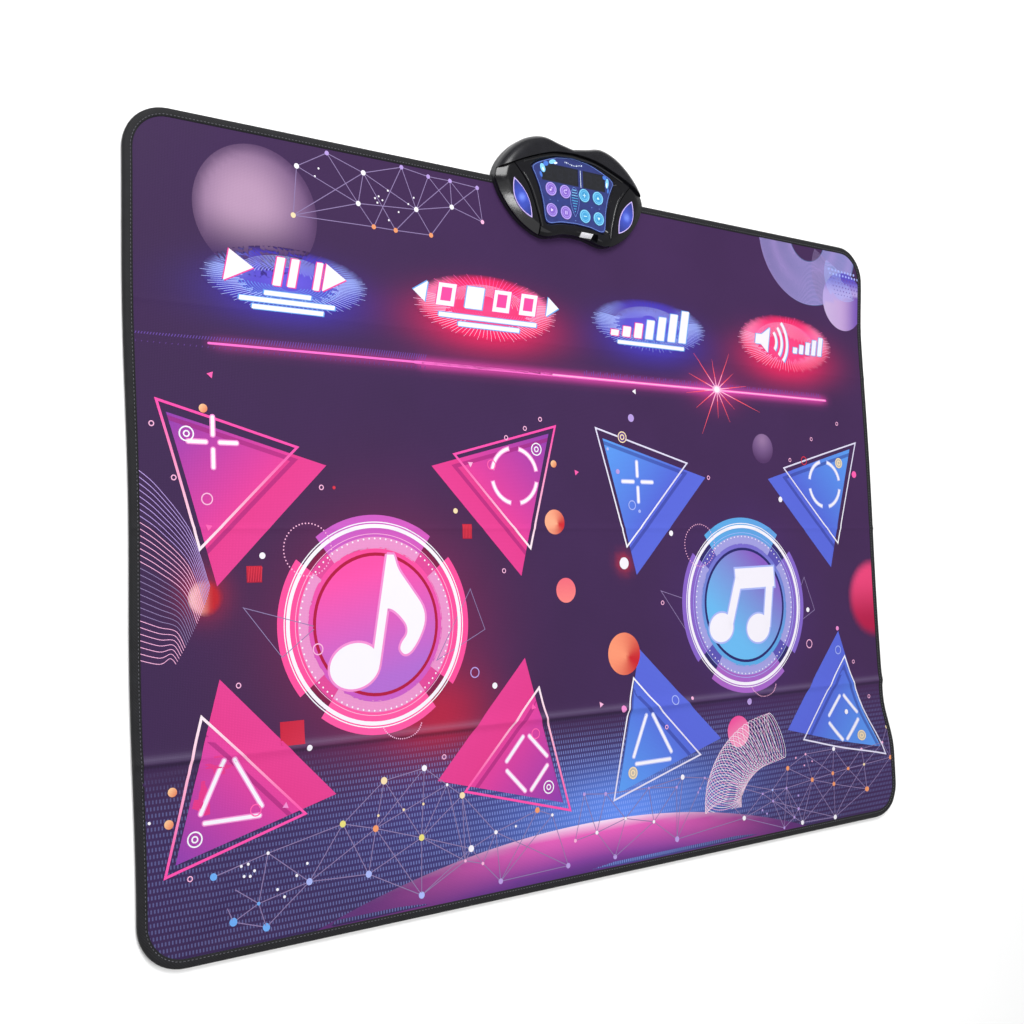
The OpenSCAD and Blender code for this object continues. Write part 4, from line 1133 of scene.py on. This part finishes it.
panelShine = {"Coat Weight": 0.5, "Coat Roughness": 0.06}
finishes = {
    # Clear polyester film: thin, faintly milky, glossy.
    "film": grained("polyesterFilm", "#cdd5d6", "#e2e8e8", 0.25, 4, 0.02, {"IOR": 1.6}),
    # Open polyurethane foam: pale, with cells 1 mm across.
    "foam": grained("openFoam", "#dcd8cf", "#f0ece2", 0.92, 1.0, 0.3),
    # Denser polyethylene cushion foam: grey-blue closed cells.
    "cushion": grained("cushionFoam", "#5d6169", "#777c86", 0.9, 1.4, 0.25),
    # Carbon ink: matt black-grey with a fine print grain.
    "carbon": grained("carbonInk", "#303034", "#47474d", 0.75, 0.8, 0.05),
    # Zinc-plated steel: bright, with a faint brushed grain.
    "steel": grained("zincPlatedSteel", "#b4b7bc", "#c9ccd1", 0.34, 0.6, 0.02, {"Metallic": 1.0}),
    # Nickel-plated spring strip.
    "spring": grained("nickelStrip", "#c6c4bc", "#dad8cf", 0.28, 0.8, 0.02, {"Metallic": 1.0}),
    # Moulded ABS with a fine spark-eroded grain: satin charcoal.
    "satin": grained("satinAbs", "#141418", "#1c1c21", 0.27, 0.5, 0.02, {"IOR": 1.5, "Specular IOR Level": 0.32}),
    # Polished ABS: piano black, sharp reflections.
    "gloss": grained("polishedAbs", "#0c0c0f", "#131318", 0.1, 6, 0.01, {
        "IOR": 1.5, "Specular IOR Level": 0.32, "Coat Weight": 0.05, "Coat Roughness": 0.04}, 0.05),
    # Polished ABS of the pods, a touch less bright.
    "pod": grained("podAbs", "#0b0b0e", "#111115", 0.17, 5, 0.01, {
        "IOR": 1.5, "Specular IOR Level": 0.36, "Coat Weight": 0.05, "Coat Roughness": 0.08}, 0.06),
    # Moulded ABS of the underside: plain black, light grain.
    "base": grained("baseAbs", "#1a1a1e", "#25252a", 0.5, 0.7, 0.05),
    # Milky lamp boards and white acetal knob.
    "white": grained("whiteAcetal", "#e9e9ee", "#f7f7fa", 0.35, 1.2, 0.02),
    # Glass-epoxy board with green resist.
    "board": grained("greenResist", "#23592f", "#2f7440", 0.35, 1.6, 0.03),
    # Phenolic switch bodies.
    "switch": grained("blackPhenolic", "#18181b", "#26262a", 0.5, 0.6, 0.03),
    # Pulp loudspeaker basket.
    "speaker": grained("speakerCone", "#222225", "#323237", 0.8, 0.8, 0.08),
    # Printed cell wrap: warm gold shrink film.
    "cell": grained("cellWrap", "#b58f3c", "#cfa957", 0.32, 3, 0.02, {"Metallic": 0.35}),
    # Rubber feet.
    "rubber": grained("footRubber", "#202022", "#2d2d30", 0.88, 0.7, 0.08),
    # Silicone keycaps, soft satin.
    "keyViolet": grained("keySiliconeViolet", "#6f50ae", "#7c5cba", 0.45, 0.8, 0.03),
    "keyCyan": grained("keySiliconeCyan", "#2f86b8", "#4096c6", 0.45, 0.8, 0.03),
    # Reverse-printed polycarbonate panel: deep blue under a clear gloss.
    "panel": grained("printedPanel", "#1f2862", "#28357a", 0.22, 9, 0.01, panelShine, 0.06),
    # Smoked acrylic display window.
    "display": grained("smokedAcrylic", "#0f1016", "#181a24", 0.12, 8, 0.01,
                       {"Coat Weight": 0.5, "Coat Roughness": 0.05}, 0.05),
    # Flat lead: cream polyimide.
    "lead": grained("flatLead", "#bcb596", "#cfc8ab", 0.45, 1.5, 0.03),
}
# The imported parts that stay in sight, by the start of their names. The others are replaced by pieces.
madeOf = {
    "contact_film_": "film", "circuit_film_": "film", "spacer_foam_": "foam", "cushion_": "cushion",
    "contact_patches_": "carbon",
    "tail_ribbon": "lead", "clamp_bar": "steel", "clamp_screws": "steel", "board_screws": "steel",
    "case_screws": "steel",
    "console_base": "base", "control_panel": "panel", "lens_lamps": "white", "left_display": "display",
    "right_display": "display",
    "main_board": "board", "tact_switches": "switch", "left_speaker": "speaker", "right_speaker": "speaker",
    "battery_cells": "cell",
    "battery_contacts": "spring", "battery_door": "base", "power_switch": "switch", "rubber_feet": "rubber",
}
for name, node in nodes.items():
    kind = next((value for key, value in madeOf.items() if name.startswith(key)), None)
    if kind:
        node.data.materials.clear()
        node.data.materials.append(finishes[kind])
print("packed parts finished")

# The console's plan, in millimetres. Across it, u runs from -1 to 1. Along it, v is -1 at its front,
# 0 at the mat's edge and 1 at its rear.
consoleLow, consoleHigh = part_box("console_base")
console = {
    "half": consoleHigh.x / mm,
    "edge": mat["far"],
    "reach": mat["far"] + mat["middleY"] - consoleLow.y / mm,
    "over": consoleHigh.y / mm - mat["middleY"] - mat["far"],
    "split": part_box("panel_frame")[0].z / mm,
    "frameTop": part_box("panel_frame")[1].z / mm,
    "podTop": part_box("right_pod")[1].z / mm,
    "crestTop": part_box("crest_shell")[1].z / mm,
    "panelTop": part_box("control_panel")[1].z / mm,
    "seam": 1.2,
}


# A place on the console's plan.
def spot(u, v):
    return Vector((u * console["half"], console["edge"] + v * (console["reach"] if v < 0 else console["over"])))


def spots(pairs):
    return [spot(u, v) for u, v in pairs]


def mirrored(points):
    return [Vector((-p.x, p.y)) for p in reversed(points)]


bodyHalf = spots([(0, -0.90), (0.16, -0.92), (0.30, -0.98), (0.42, -1), (0.56, -0.93), (0.74, -0.74), (0.90, -0.44),
                  (0.98, -0.19), (1, 0), (0.93, 0.32), (0.78, 0.65), (0.60, 0.89), (0.40, 1), (0.20, 0.93), (0, 0.86)])
panelHalf = spots([(0, -0.68), (0.20, -0.70), (0.35, -0.75), (0.41, -0.68), (0.43, -0.39), (0.47, -0.11),
                   (0.52, 0.11), (0.555, 0.27), (0.51, 0.37), (0.40, 0.47), (0.22, 0.59), (0, 0.64)])
crestSeam = curved(spots([(0, 0.71), (0.29, 0.65), (0.61, 0.44), (0.84, 0.24), (1.1, 0.02)]), 8)
podSide = curved(spots([
    (0.47, -1.2), (0.49, -0.80), (0.53, -0.53), (0.61, -0.15), (0.73, 0.15), (0.86, 0.4), (1.0, 0.62)]), 8)


# Both halves of a symmetric outline, from its right half.
def fullOutline(half, steps):
    right = curved(half, steps)
    return right + mirrored(right)[1:-1]


# Raises flat work into a closed solid between two heights.
def asSolid(work, low, high):
    bmesh.ops.translate(work, vec=(0, 0, low), verts=work.verts)
    made = bmesh.ops.extrude_face_region(work, geom=work.faces[:])["geom"]
    bmesh.ops.translate(work, vec=(0, 0, high - low), verts=[g for g in made if isinstance(g, bmesh.types.BMVert)])
    bmesh.ops.recalc_face_normals(work, faces=work.faces)
    return work


# The shells' outside: the outline is drawn in towards the middle as it rises, then crowned.
def shellBody(profile):
    work = bmesh.new()
    outline, heart = fullOutline(bodyHalf, 7), Vector((0, console["edge"] - 5))
    rings = []
    for share, z in profile:
        verts = [work.verts.new((*(heart + (p - heart) * share), z)) for p in outline]
        rings.append([work.edges.new(pair) for pair in zip(verts, verts[1:] + verts[:1])])
    for low, high in zip(rings, rings[1:]):
        bmesh.ops.bridge_loops(work, edges=low + high)
    for ends in (rings[0], rings[-1]):
        bmesh.ops.holes_fill(work, edges=ends, sides=0)
    bmesh.ops.recalc_face_normals(work, faces=work.faces)
    return work


# A shell's profile as shares and heights: a quarter round that draws in by the shoulder, then a low crown.
rounding = {"shoulder": 0.16, "steps": 12}


def roundProfile(top, crown=0.7):
    rise, shoulder, steps = top - console["split"], rounding["shoulder"], rounding["steps"]
    angles = [math.pi / 2 * i / steps for i in range(steps + 1)]
    side = [(1 - shoulder * (1 - math.cos(a)), console["split"] + rise * math.sin(a)) for a in angles]
    return side + [(share, top + crown * (1 - (share / (1 - shoulder)) ** 2)) for share in (0.76, 0.66, 0.5, 0.3)]


# Keeps what lies within some solids and outside others, then drops those cutters.
def carve(work, within, without):
    base = asPiece(work, "carved")
    cutters = []
    for how, others in (("INTERSECT", within), ("DIFFERENCE", without)):
        for other in others:
            cutters.append(asPiece(other, "cutter"))
            cut = base.modifiers.new("cut", "BOOLEAN")
            cut.operation, cut.object, cut.solver = how, cutters[-1], "EXACT"
    result = bmesh.new()
    result.from_mesh(bpy.data.meshes.new_from_object(base.evaluated_get(bpy.context.evaluated_depsgraph_get())))
    for helper in cutters + [base]:
        bpy.data.objects.remove(helper)
    bmesh.ops.remove_doubles(result, verts=result.verts, dist=0.005)
    return result


# A finished console piece: moved into the shared frame, given soft edges, and put on its body.
def fit(work, name, materials, body="mat_upper", stands=(), soft=None, sharp=32):
    intoFrame = Matrix.Translation((0, mat["middleY"] * mm, 0)) @ Matrix.Scale(mm, 4)
    bmesh.ops.transform(work, matrix=intoFrame, verts=work.verts)
    piece = asPiece(work, name, materials)
    piece.data.shade_smooth()
    piece.data.set_sharp_from_angle(angle=math.radians(sharp))
    if soft:
        edge = piece.modifiers.new("softEdges", "BEVEL")
        edge.width, edge.segments = soft * mm, 2
        edge.limit_method, edge.angle_limit = "ANGLE", math.radians(sharp)
        edge.use_clamp_overlap, edge.harden_normals = True, True
    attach(piece, body)
    if stands:
        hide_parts(*stands)
    return piece


# The solids that cut the shells are taller and wider than the console. Seams between shells are thin walls.
cutter = {"half": 400, "low": 0, "high": 45}
crestLine = mirrored(crestSeam) + crestSeam[1:]
leftPodSide = [Vector((-p.x, p.y)) for p in podSide]


def tall(work, low=cutter["low"]):
    return asSolid(work, low, cutter["high"])


def frontPart():
    return tall(polygon([(-cutter["half"], 0)] + crestLine + [(cutter["half"], 0)]))


def sidePart(flip):
    side = podSide + [spot(3, 0.7), spot(3, -4)]
    return tall(polygon([(-p.x, p.y) for p in side] if flip else side))


def seamWall(line):
    return tall(stroke(line, console["seam"]))


# The panel's outline, drawn in towards the console's middle by a share, or out by a negative one.
def panelOutline(share):
    return [p * (1 - share) + Vector((0, console["edge"])) * share for p in fullOutline(panelHalf, 6)]


work = carve(shellBody(roundProfile(console["crestTop"])), [], [frontPart(), seamWall(crestLine)])
fit(work, "crestDome", [finishes["satin"]], stands=["crest_shell"], soft=0.9)

# The power knob slides on a tilted land, in a pocket of the surround's front. Its measures are in millimetres.
power = {"u": 0.17, "v": -0.83, "rise": 4.2, "tilt": 48, "land": (30, 9)}
powerAt = Matrix.Translation((*spot(power["u"], power["v"]), console["split"] + power["rise"]))
powerPlace = powerAt @ Matrix.Rotation(math.radians(power["tilt"]), 4, "X")
pocket = bmesh.new()
land = Matrix.Translation((0, 0, 10)) @ Matrix.Diagonal((*power["land"], 20, 1))
bmesh.ops.create_cube(pocket, size=1, matrix=powerPlace @ land)
# The panel lies in a recess that widens upwards, over an opening.
opening = {"through": 0.022, "recess": -0.004, "flare": 1.075, "sink": 1.2}
recess = asSolid(polygon(panelOutline(opening["recess"])), console["panelTop"] - opening["sink"],
                 console["frameTop"] + 1)
heart = Vector((0, console["edge"], 0))
for v in [v for v in recess.verts if v.co.z > console["frameTop"]]:
    v.co.xy = (heart + (v.co - heart) * opening["flare"]).xy
work = carve(shellBody(roundProfile(console["frameTop"], crown=0.2)), [frontPart()], [
    sidePart(False), sidePart(True), seamWall(crestLine), seamWall(podSide), seamWall(leftPodSide),
    tall(polygon(panelOutline(opening["through"]))), recess, pocket])
fit(work, "panelSurround", [finishes["gloss"]], stands=["panel_frame"], soft=0.4)

# A raised bead follows the surround's outer edge, beside the pods and under the crest.
bead = {"wide": 2.6, "rise": 1.3, "inPods": 0.955, "inCrest": 0.055}
over = [Vector((p.x, p.y - bead["inCrest"] * console["over"])) for p in crestLine if abs(p.x) < 0.70 * console["half"]]
beside = [Vector((p.x * bead["inPods"], p.y)) for p in podSide if spot(0, -0.86).y < p.y < spot(0, 0.14).y]
work = bmesh.new()
for line in (over, beside, [Vector((-p.x, p.y)) for p in beside]):
    asSolid(stroke(line, bead["wide"]), console["frameTop"] - 2, console["frameTop"] + bead["rise"]).to_mesh(scratch)
    work.from_mesh(scratch)
finishes["bead"] = grained("beadAbs", "#0c0c0f", "#131317", 0.14, 5, 0.01,
                           {"IOR": 1.52, "Coat Weight": 0.4, "Coat Roughness": 0.05}, 0.05)
fit(work, "surroundBead", [finishes["bead"]], soft=0.8, sharp=40)

# The pods are flat on top, with a wide soft shoulder, and a leaf-shaped lens is let into each.
split, podTop = console["split"], console["podTop"]
podProfile = [(1, split), (1, split + 1.4), (0.994, split + 2.6), (0.905, podTop - 1.5), (0.885, podTop - 0.7),
              (0.86, podTop - 0.2), (0.84, podTop), (0.7, podTop + 0.1), (0.3, podTop + 0.1)]
lensTips = {False: (spot(0.80, -0.04), spot(0.59, -0.71)), True: (spot(-0.80, -0.04), spot(-0.59, -0.71))}


# A leaf between two tips, fuller on its outer side.
def leaf(flip, grow):
    back, front = lensTips[flip]
    across = back - front
    out = Vector((across.y, -across.x)).normalized() * (-1 if flip else 1)
    steps = 14
    side = [front + across * (i / steps) for i in range(steps + 1)]
    belly = [math.sin(math.pi * i / steps) ** 0.85 for i in range(steps + 1)]
    outer = [p + out * (13 + grow) * b - across.normalized() * grow * 1.6 * (1 - 2 * i / steps)
             for i, (p, b) in enumerate(zip(side, belly))]
    inner = [p - out * (8 + grow) * b for p, b in zip(side, belly)]
    return outer + inner[-2:0:-1]


# Tinted lens with a painted glow from the lamp below: brightest near its middle.
def lensGlow(flip):
    back, front = lensTips[flip]
    middle = (back + front) / 2 + Vector((-2 if flip else 2, 0))

    def paint(x, y):
        d = (Vector((x, y)) - middle).length
        return mix(mix("#6f88ea", "#374bb6", d / 7), "#1d2672", (d - 5) / 20)
    return paint


# The lens's colour attribute carries its painted glow, and the lens itself gives no light.
lensGlass, tree, shader = newMaterial("lensGlass", {
    "Roughness": 0.1, "Coat Weight": 0.7, "Coat Roughness": 0.03, "IOR": 1.5})
glow = add(tree, "Attribute", attribute_name="ink").outputs["Color"]
place = add(tree, "TexCoord").outputs["Object"]
cells = add(tree, "TexNoise", {"Vector": place, "Scale": 160, "Detail": 2}).outputs["Fac"]
uneven = {"Value": cells, "From Min": 0.3, "From Max": 0.7, "To Min": 0.9, "To Max": 1.1}
shade = add(tree, "MapRange", uneven).outputs[0]
tone = add(tree, "Mix", {0: 1.0, 6: glow, 7: shade}, data_type="RGBA", blend_type="MULTIPLY").outputs[2]
tree.links.new(tone, shader.inputs["Base Color"])
tree.links.new(add(tree, "MapRange", {"Value": cells, "To Min": 0.06, "To Max": 0.16}).outputs[0],
               shader.inputs["Roughness"])
finishes["rim"] = grained("lensRim", "#b9a4e6", "#cdbcf0", 0.3, 1.5, 0.01)

for flip, name in ((False, "right"), (True, "left")):
    hollow = tall(polygon(leaf(flip, 0.4)), podTop - 1.2)
    work = carve(shellBody(podProfile), [frontPart(), sidePart(flip)], [
        seamWall(crestLine), seamWall(leftPodSide if flip else podSide), hollow])
    fit(work, name + "PodShell", [finishes["pod"]], stands=[name + "_pod"], soft=0.7)
    glass = polygon(leaf(flip, -0.9))
    cutToCloth(glass, 2.5, ())
    paint, ink = lensGlow(flip), glass.verts.layers.float_color.new("ink")
    middle = (lensTips[flip][0] + lensTips[flip][1]) / 2
    for v in glass.verts:
        v[ink] = paint(v.co.x, v.co.y)
        v.co.z = podTop - 0.35 + 1.1 * max(0, 1 - ((v.co.xy - middle).length / 27) ** 2)
    glass.normal_update()
    bmesh.ops.reverse_faces(glass, faces=[f for f in glass.faces if f.normal.z < 0])
    fit(glass, name + "LensGlass", [lensGlass], stands=[name + "_lens"])
    rim = frameOf(leaf(flip, 0.25), 1.25)
    fit(asSolid(rim, podTop - 1.1, podTop + 0.45), name + "LensRim", [finishes["rim"]], soft=0.3)
print("console shells and lenses made")

# Keycaps: turned on their own axis, with a pale rim, a dished face, an inner line and a small sign.
key = {"r": 9, "rimIn": 7.7, "lineOut": 5.9, "lineIn": 5.3,
       "top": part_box("key_1")[1].z / mm, "foot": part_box("key_1")[0].z / mm}
finishes["rimViolet"] = grained("keyRimViolet", "#9f89d8", "#ae9ae2", 0.4, 0.8, 0.02)
finishes["rimCyan"] = grained("keyRimCyan", "#6fbbe0", "#84c9ea", 0.4, 0.8, 0.02)
finishes["signViolet"] = grained("keySignViolet", "#cdbdf0", "#d9ccf6", 0.45, 0.8, 0.01)
finishes["signCyan"] = grained("keySignCyan", "#bfe6f6", "#cfeefa", 0.45, 0.8, 0.01)


def signShapes(number):
    if number == 1:
        return [disc(-1.3, -1.6, 1.5, 1.2, 16), bar((0, -1.6), (0.4, 2.4), 0.7), bar((0.4, 2.4), (2.2, 1.2), 0.8)]
    if number == 2:
        return [ring(0, 0, 1.9, 2.7, 40, 280, steps=18), polygon([(2.9, 1.6), (0.9, 2.2), (2.4, 3.6)])]
    if number == 3:
        return [bar((-2.4, 0), (2.4, 0), 0.9), bar((0, 0.3), (0, 2.4), 0.9), bar((0, -0.3), (0, -2.4), 0.9)]
    if number == 4:
        return [polygon([(-2.2, -1.6), (2.2, -1.6), (0, 2.2)])]
    if number == 5:
        return [polygon([(-1.6, -2.1), (2.2, 0), (-1.6, 2.1)])]
    if number == 6:
        return [bar((-1.2, -2), (-1.2, 2), 1.0), bar((1.2, -2), (1.2, 2), 1.0)]
    if number == 7:
        return [bar((-2.4, 0), (2.4, 0), 0.9)]
    return [polygon([(-2.2, 1.6), (0, -2.2), (2.2, 1.6)])]


for number in range(1, 9):
    low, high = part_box("key_%d" % number)
    middle = (low + high) / 2
    tone = "Violet" if number in (1, 2, 5, 6) else "Cyan"
    top = key["top"]
    work = bmesh.new()
    line = [(0, top - 0.12), (key["lineIn"], top - 0.2), (key["lineIn"], top - 0.12), (key["lineOut"], top - 0.12),
            (key["lineOut"], top - 0.24),
            (key["rimIn"] - 0.35, top - 0.25), (key["rimIn"], top + 0.06), (key["r"] - 0.45, top + 0.06),
            (key["r"], top - 0.4), (key["r"], key["foot"] + 1.7),
            (key["r"] + 1.2, key["foot"] + 1.7), (key["r"] + 1.2, key["foot"]), (0, key["foot"])]
    verts = [work.verts.new((r, 0, z)) for r, z in line]
    edges = [work.edges.new(pair) for pair in zip(verts, verts[1:])]
    bmesh.ops.spin(work, geom=verts + edges, cent=(0, 0, 0), axis=(0, 0, 1), angle=2 * math.pi, steps=48,
                   use_merge=True)
    bmesh.ops.remove_doubles(work, verts=work.verts, dist=0.001)
    bmesh.ops.recalc_face_normals(work, faces=work.faces)
    for f in work.faces:
        r = f.calc_center_median().xy.length
        if f.calc_center_median().z > top - 0.5:
            f.material_index = 1 if r > key["rimIn"] - 0.4 or key["lineIn"] < r < key["lineOut"] else 0
    for sign in signShapes(number):
        bmesh.ops.translate(sign, vec=(0, 0, top - 0.1), verts=sign.verts)
        for f in sign.faces:
            f.material_index = 2
        sign.to_mesh(scratch)
        sign.free()
        work.from_mesh(scratch)
    bmesh.ops.translate(work, vec=(middle.x / mm, middle.y / mm - mat["middleY"], 0), verts=work.verts)
    fit(work, "keycap%d" % number, [finishes["key" + tone], finishes["rim" + tone], finishes["sign" + tone]],
        "key_%d" % number, ["key_%d" % number], sharp=40)

# The power knob: a white slider with three grip ribs.
work = bmesh.new()
bmesh.ops.create_cube(work, size=1, matrix=Matrix.Translation((-2.5, 0, 1.2)) @ Matrix.Diagonal((20, 8, 1.8, 1)))
bmesh.ops.bevel(work, geom=work.edges[:], affect="EDGES", offset=0.5, segments=3, profile=0.5, material=-1)
for x in (-5.5, -2.5, 0.5):
    rib = bmesh.new()
    bmesh.ops.create_cube(rib, size=1, matrix=Matrix.Translation((x, 0, 2.2)) @ Matrix.Diagonal((0.9, 6, 0.7, 1)))
    bmesh.ops.bevel(rib, geom=rib.edges[:], affect="EDGES", offset=0.25, segments=2, profile=0.5, material=-1)
    rib.to_mesh(scratch)
    rib.free()
    work.from_mesh(scratch)
bmesh.ops.transform(work, matrix=powerPlace, verts=work.verts)
fit(work, "powerSlider", [finishes["white"]], "power_knob", ["power_knob"])

# Print on the panel's face, and the unlit segments of its two displays.
panelInks = {"line": "#6f8fd8", "sky": "#7ec4f2", "deepSky": "#3f6fc8", "pale": "#dfeafc", "dot": "#4aa6d8",
             "segment": "#191b24", "frame": "#1a1d3c"}
panelNames = list(panelInks)
panelFinishes = [grained("panel" + n[0].upper() + n[1:], code, code, 0.24, 6, 0.01, panelShine, 0.06)
                 for n, code in panelInks.items()]
panelPrint = bmesh.new()
panelTop = console["panelTop"]


def onPanel(shape, ink, lift=0.04):
    shape.normal_update()
    bmesh.ops.reverse_faces(shape, faces=[f for f in shape.faces if f.normal.z < 0])
    bmesh.ops.translate(shape, vec=(0, 0, panelTop + lift), verts=shape.verts)
    for f in shape.faces:
        f.material_index = panelNames.index(ink)
    shape.to_mesh(scratch)
    shape.free()
    panelPrint.from_mesh(scratch)


inner = panelOutline(0.025)
onPanel(stroke(inner + inner[:1], 0.5), "line")
segments = [((-3, 6.5), (3, 6.5)), ((-3, 0), (3, 0)), ((-3, -6.5), (3, -6.5)), ((-3.8, 5.8), (-3.8, 0.8)),
            ((3.8, 5.8), (3.8, 0.8)), ((-3.8, -0.8), (-3.8, -5.8)), ((3.8, -0.8), (3.8, -5.8))]
windows = {name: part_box(name) for name in ("left_display", "right_display")}
for name, (low, high) in windows.items():
    x0, x1, y0, y1 = low.x / mm, high.x / mm, low.y / mm - mat["middleY"], high.y / mm - mat["middleY"]
    onPanel(frameOf(block(x0 - 0.9, y0 - 0.9, x1 + 0.9, y1 + 0.9), 0.8), "frame")
    digits = 3 if name == "left_display" else 2
    for i in range(digits):
        cx, cy = x0 + (i + 0.62) * (x1 - x0) / (digits + 0.25), (y0 + y1) / 2
        for a, b in segments:
            ends = [(cx + ex + 0.1 * ey, cy + ey) for ex, ey in (a, b)]
            onPanel(bar(*ends, 1.1), "segment", -0.36)
divider = (windows["left_display"][1].x + windows["right_display"][0].x) / 2 / mm
onPanel(bar((divider, 452.5), (divider, 475), 0.7), "pale")
for x, y, r, ry, ink in ((-52, 468.5, 4, 6, "sky"), (-46.5, 475, 4.4, 3.2, "deepSky"), (-35.5, 479.3, 6, 2.8, "sky"),
                         (-55.2, 459.5, 2, 3.8, "deepSky"), (-30, 478.5, 3, 1.4, "pale"), (58, 465.5, 2.8, 7, "sky"),
                         (54, 472.6, 3.6, 2.8, "deepSky"), (59, 455.5, 1.5, 3.6, "deepSky"),
                         (57.2, 463, 1.1, 3.6, "pale"), (-51.4, 467, 1.3, 2.4, "pale")):
    onPanel(disc(x, y, r, ry, 20, 20 if x < 0 else -8), ink, 0.05 if ink != "pale" else 0.07)
for i in range(11):
    onPanel(disc(-14 + 2.8 * i, 481 + 1.2 * math.cos(i * 0.6), 0.75 + 0.2 * math.sin(i * 2), segments=10), "pale", 0.06)
for row, count in enumerate((3, 4, 5, 5, 5, 4, 3, 2, 1)):
    for k in range(count):
        dot = disc((k - (count - 1) / 2) * 2.1, 447 - row * 3.6, 0.78, segments=10)
        onPanel(dot, "dot" if row > 2 else "sky", 0.05)
drop = curved([
    (0, 411), (5.2, 421), (7.4, 433), (5.2, 445), (0, 451), (-5.2, 445), (-7.4, 433), (-5.2, 421), (0, 411)], 5)
onPanel(stroke(drop, 0.45), "line")
for x, y in ((-29, 428), (29, 428), (-42, 428), (42, 428), (0, 406)):
    onPanel(disc(x, y, 0.6, segments=8), "line", 0.05)
fit(panelPrint, "panelPrint", panelFinishes)
print("keys, knob and panel print made")

# Pale floor, soft overhead light and the camera.
work = bmesh.new()
bmesh.ops.create_grid(work, x_segments=2, y_segments=2, size=12)
floorPaint = newMaterial("studioFloor", {"Base Color": "#fbfbfb", "Roughness": 0.9, "Specular IOR Level": 0.1})[0]
floor = asPiece(work, "studioFloor", [floorPaint])

# A light has its place, its aim, its size in metres and its power in watts.
studio = {
    "world": 0.36,
    "lights": [
        ("farSoft", (-0.5, 2.1, 2.4), (0, 0.1, 0), 1.5, 88),
        ("consoleGlint", (-0.1, 0.02, 2.4), (-0.1, 0.42, 0), 0.35, 9),
        ("leftSoft", (-2.4, -0.4, 2.0), (0, 0, 0), 2.0, 18),
        ("topSoft", (0.4, -0.6, 3.0), (0, 0, 0), 3.0, 26),
    ],
}
world = bpy.data.worlds.new("studio")
world.use_nodes = True
bpy.context.scene.world = world
background = world.node_tree.nodes["Background"].inputs
background["Color"].default_value = (1, 1, 1, 1)
background["Strength"].default_value = studio["world"]
for name, place, aim, size, watts in studio["lights"]:
    light = bpy.data.lights.new(name, "AREA")
    light.size, light.energy = size, watts
    lamp = bpy.data.objects.new(name, light)
    lamp.location = place
    lamp.rotation_euler = (Vector(aim) - Vector(place)).to_track_quat("-Z", "Y").to_euler()
    bpy.context.scene.collection.objects.link(lamp)

lens = {"at": (-1.0465, -0.1159, 1.2568), "turn": (5.569, -36.506, -2.867), "focal": 43.87}
camera = bpy.data.objects.new("camera", bpy.data.cameras.new("camera"))
camera.location = lens["at"]
camera.rotation_euler = [math.radians(a) for a in lens["turn"]]
camera.data.lens, camera.data.sensor_width = lens["focal"], 36
bpy.context.scene.collection.objects.link(camera)
bpy.context.scene.camera = camera
bpy.context.scene.view_settings.view_transform = "Standard"
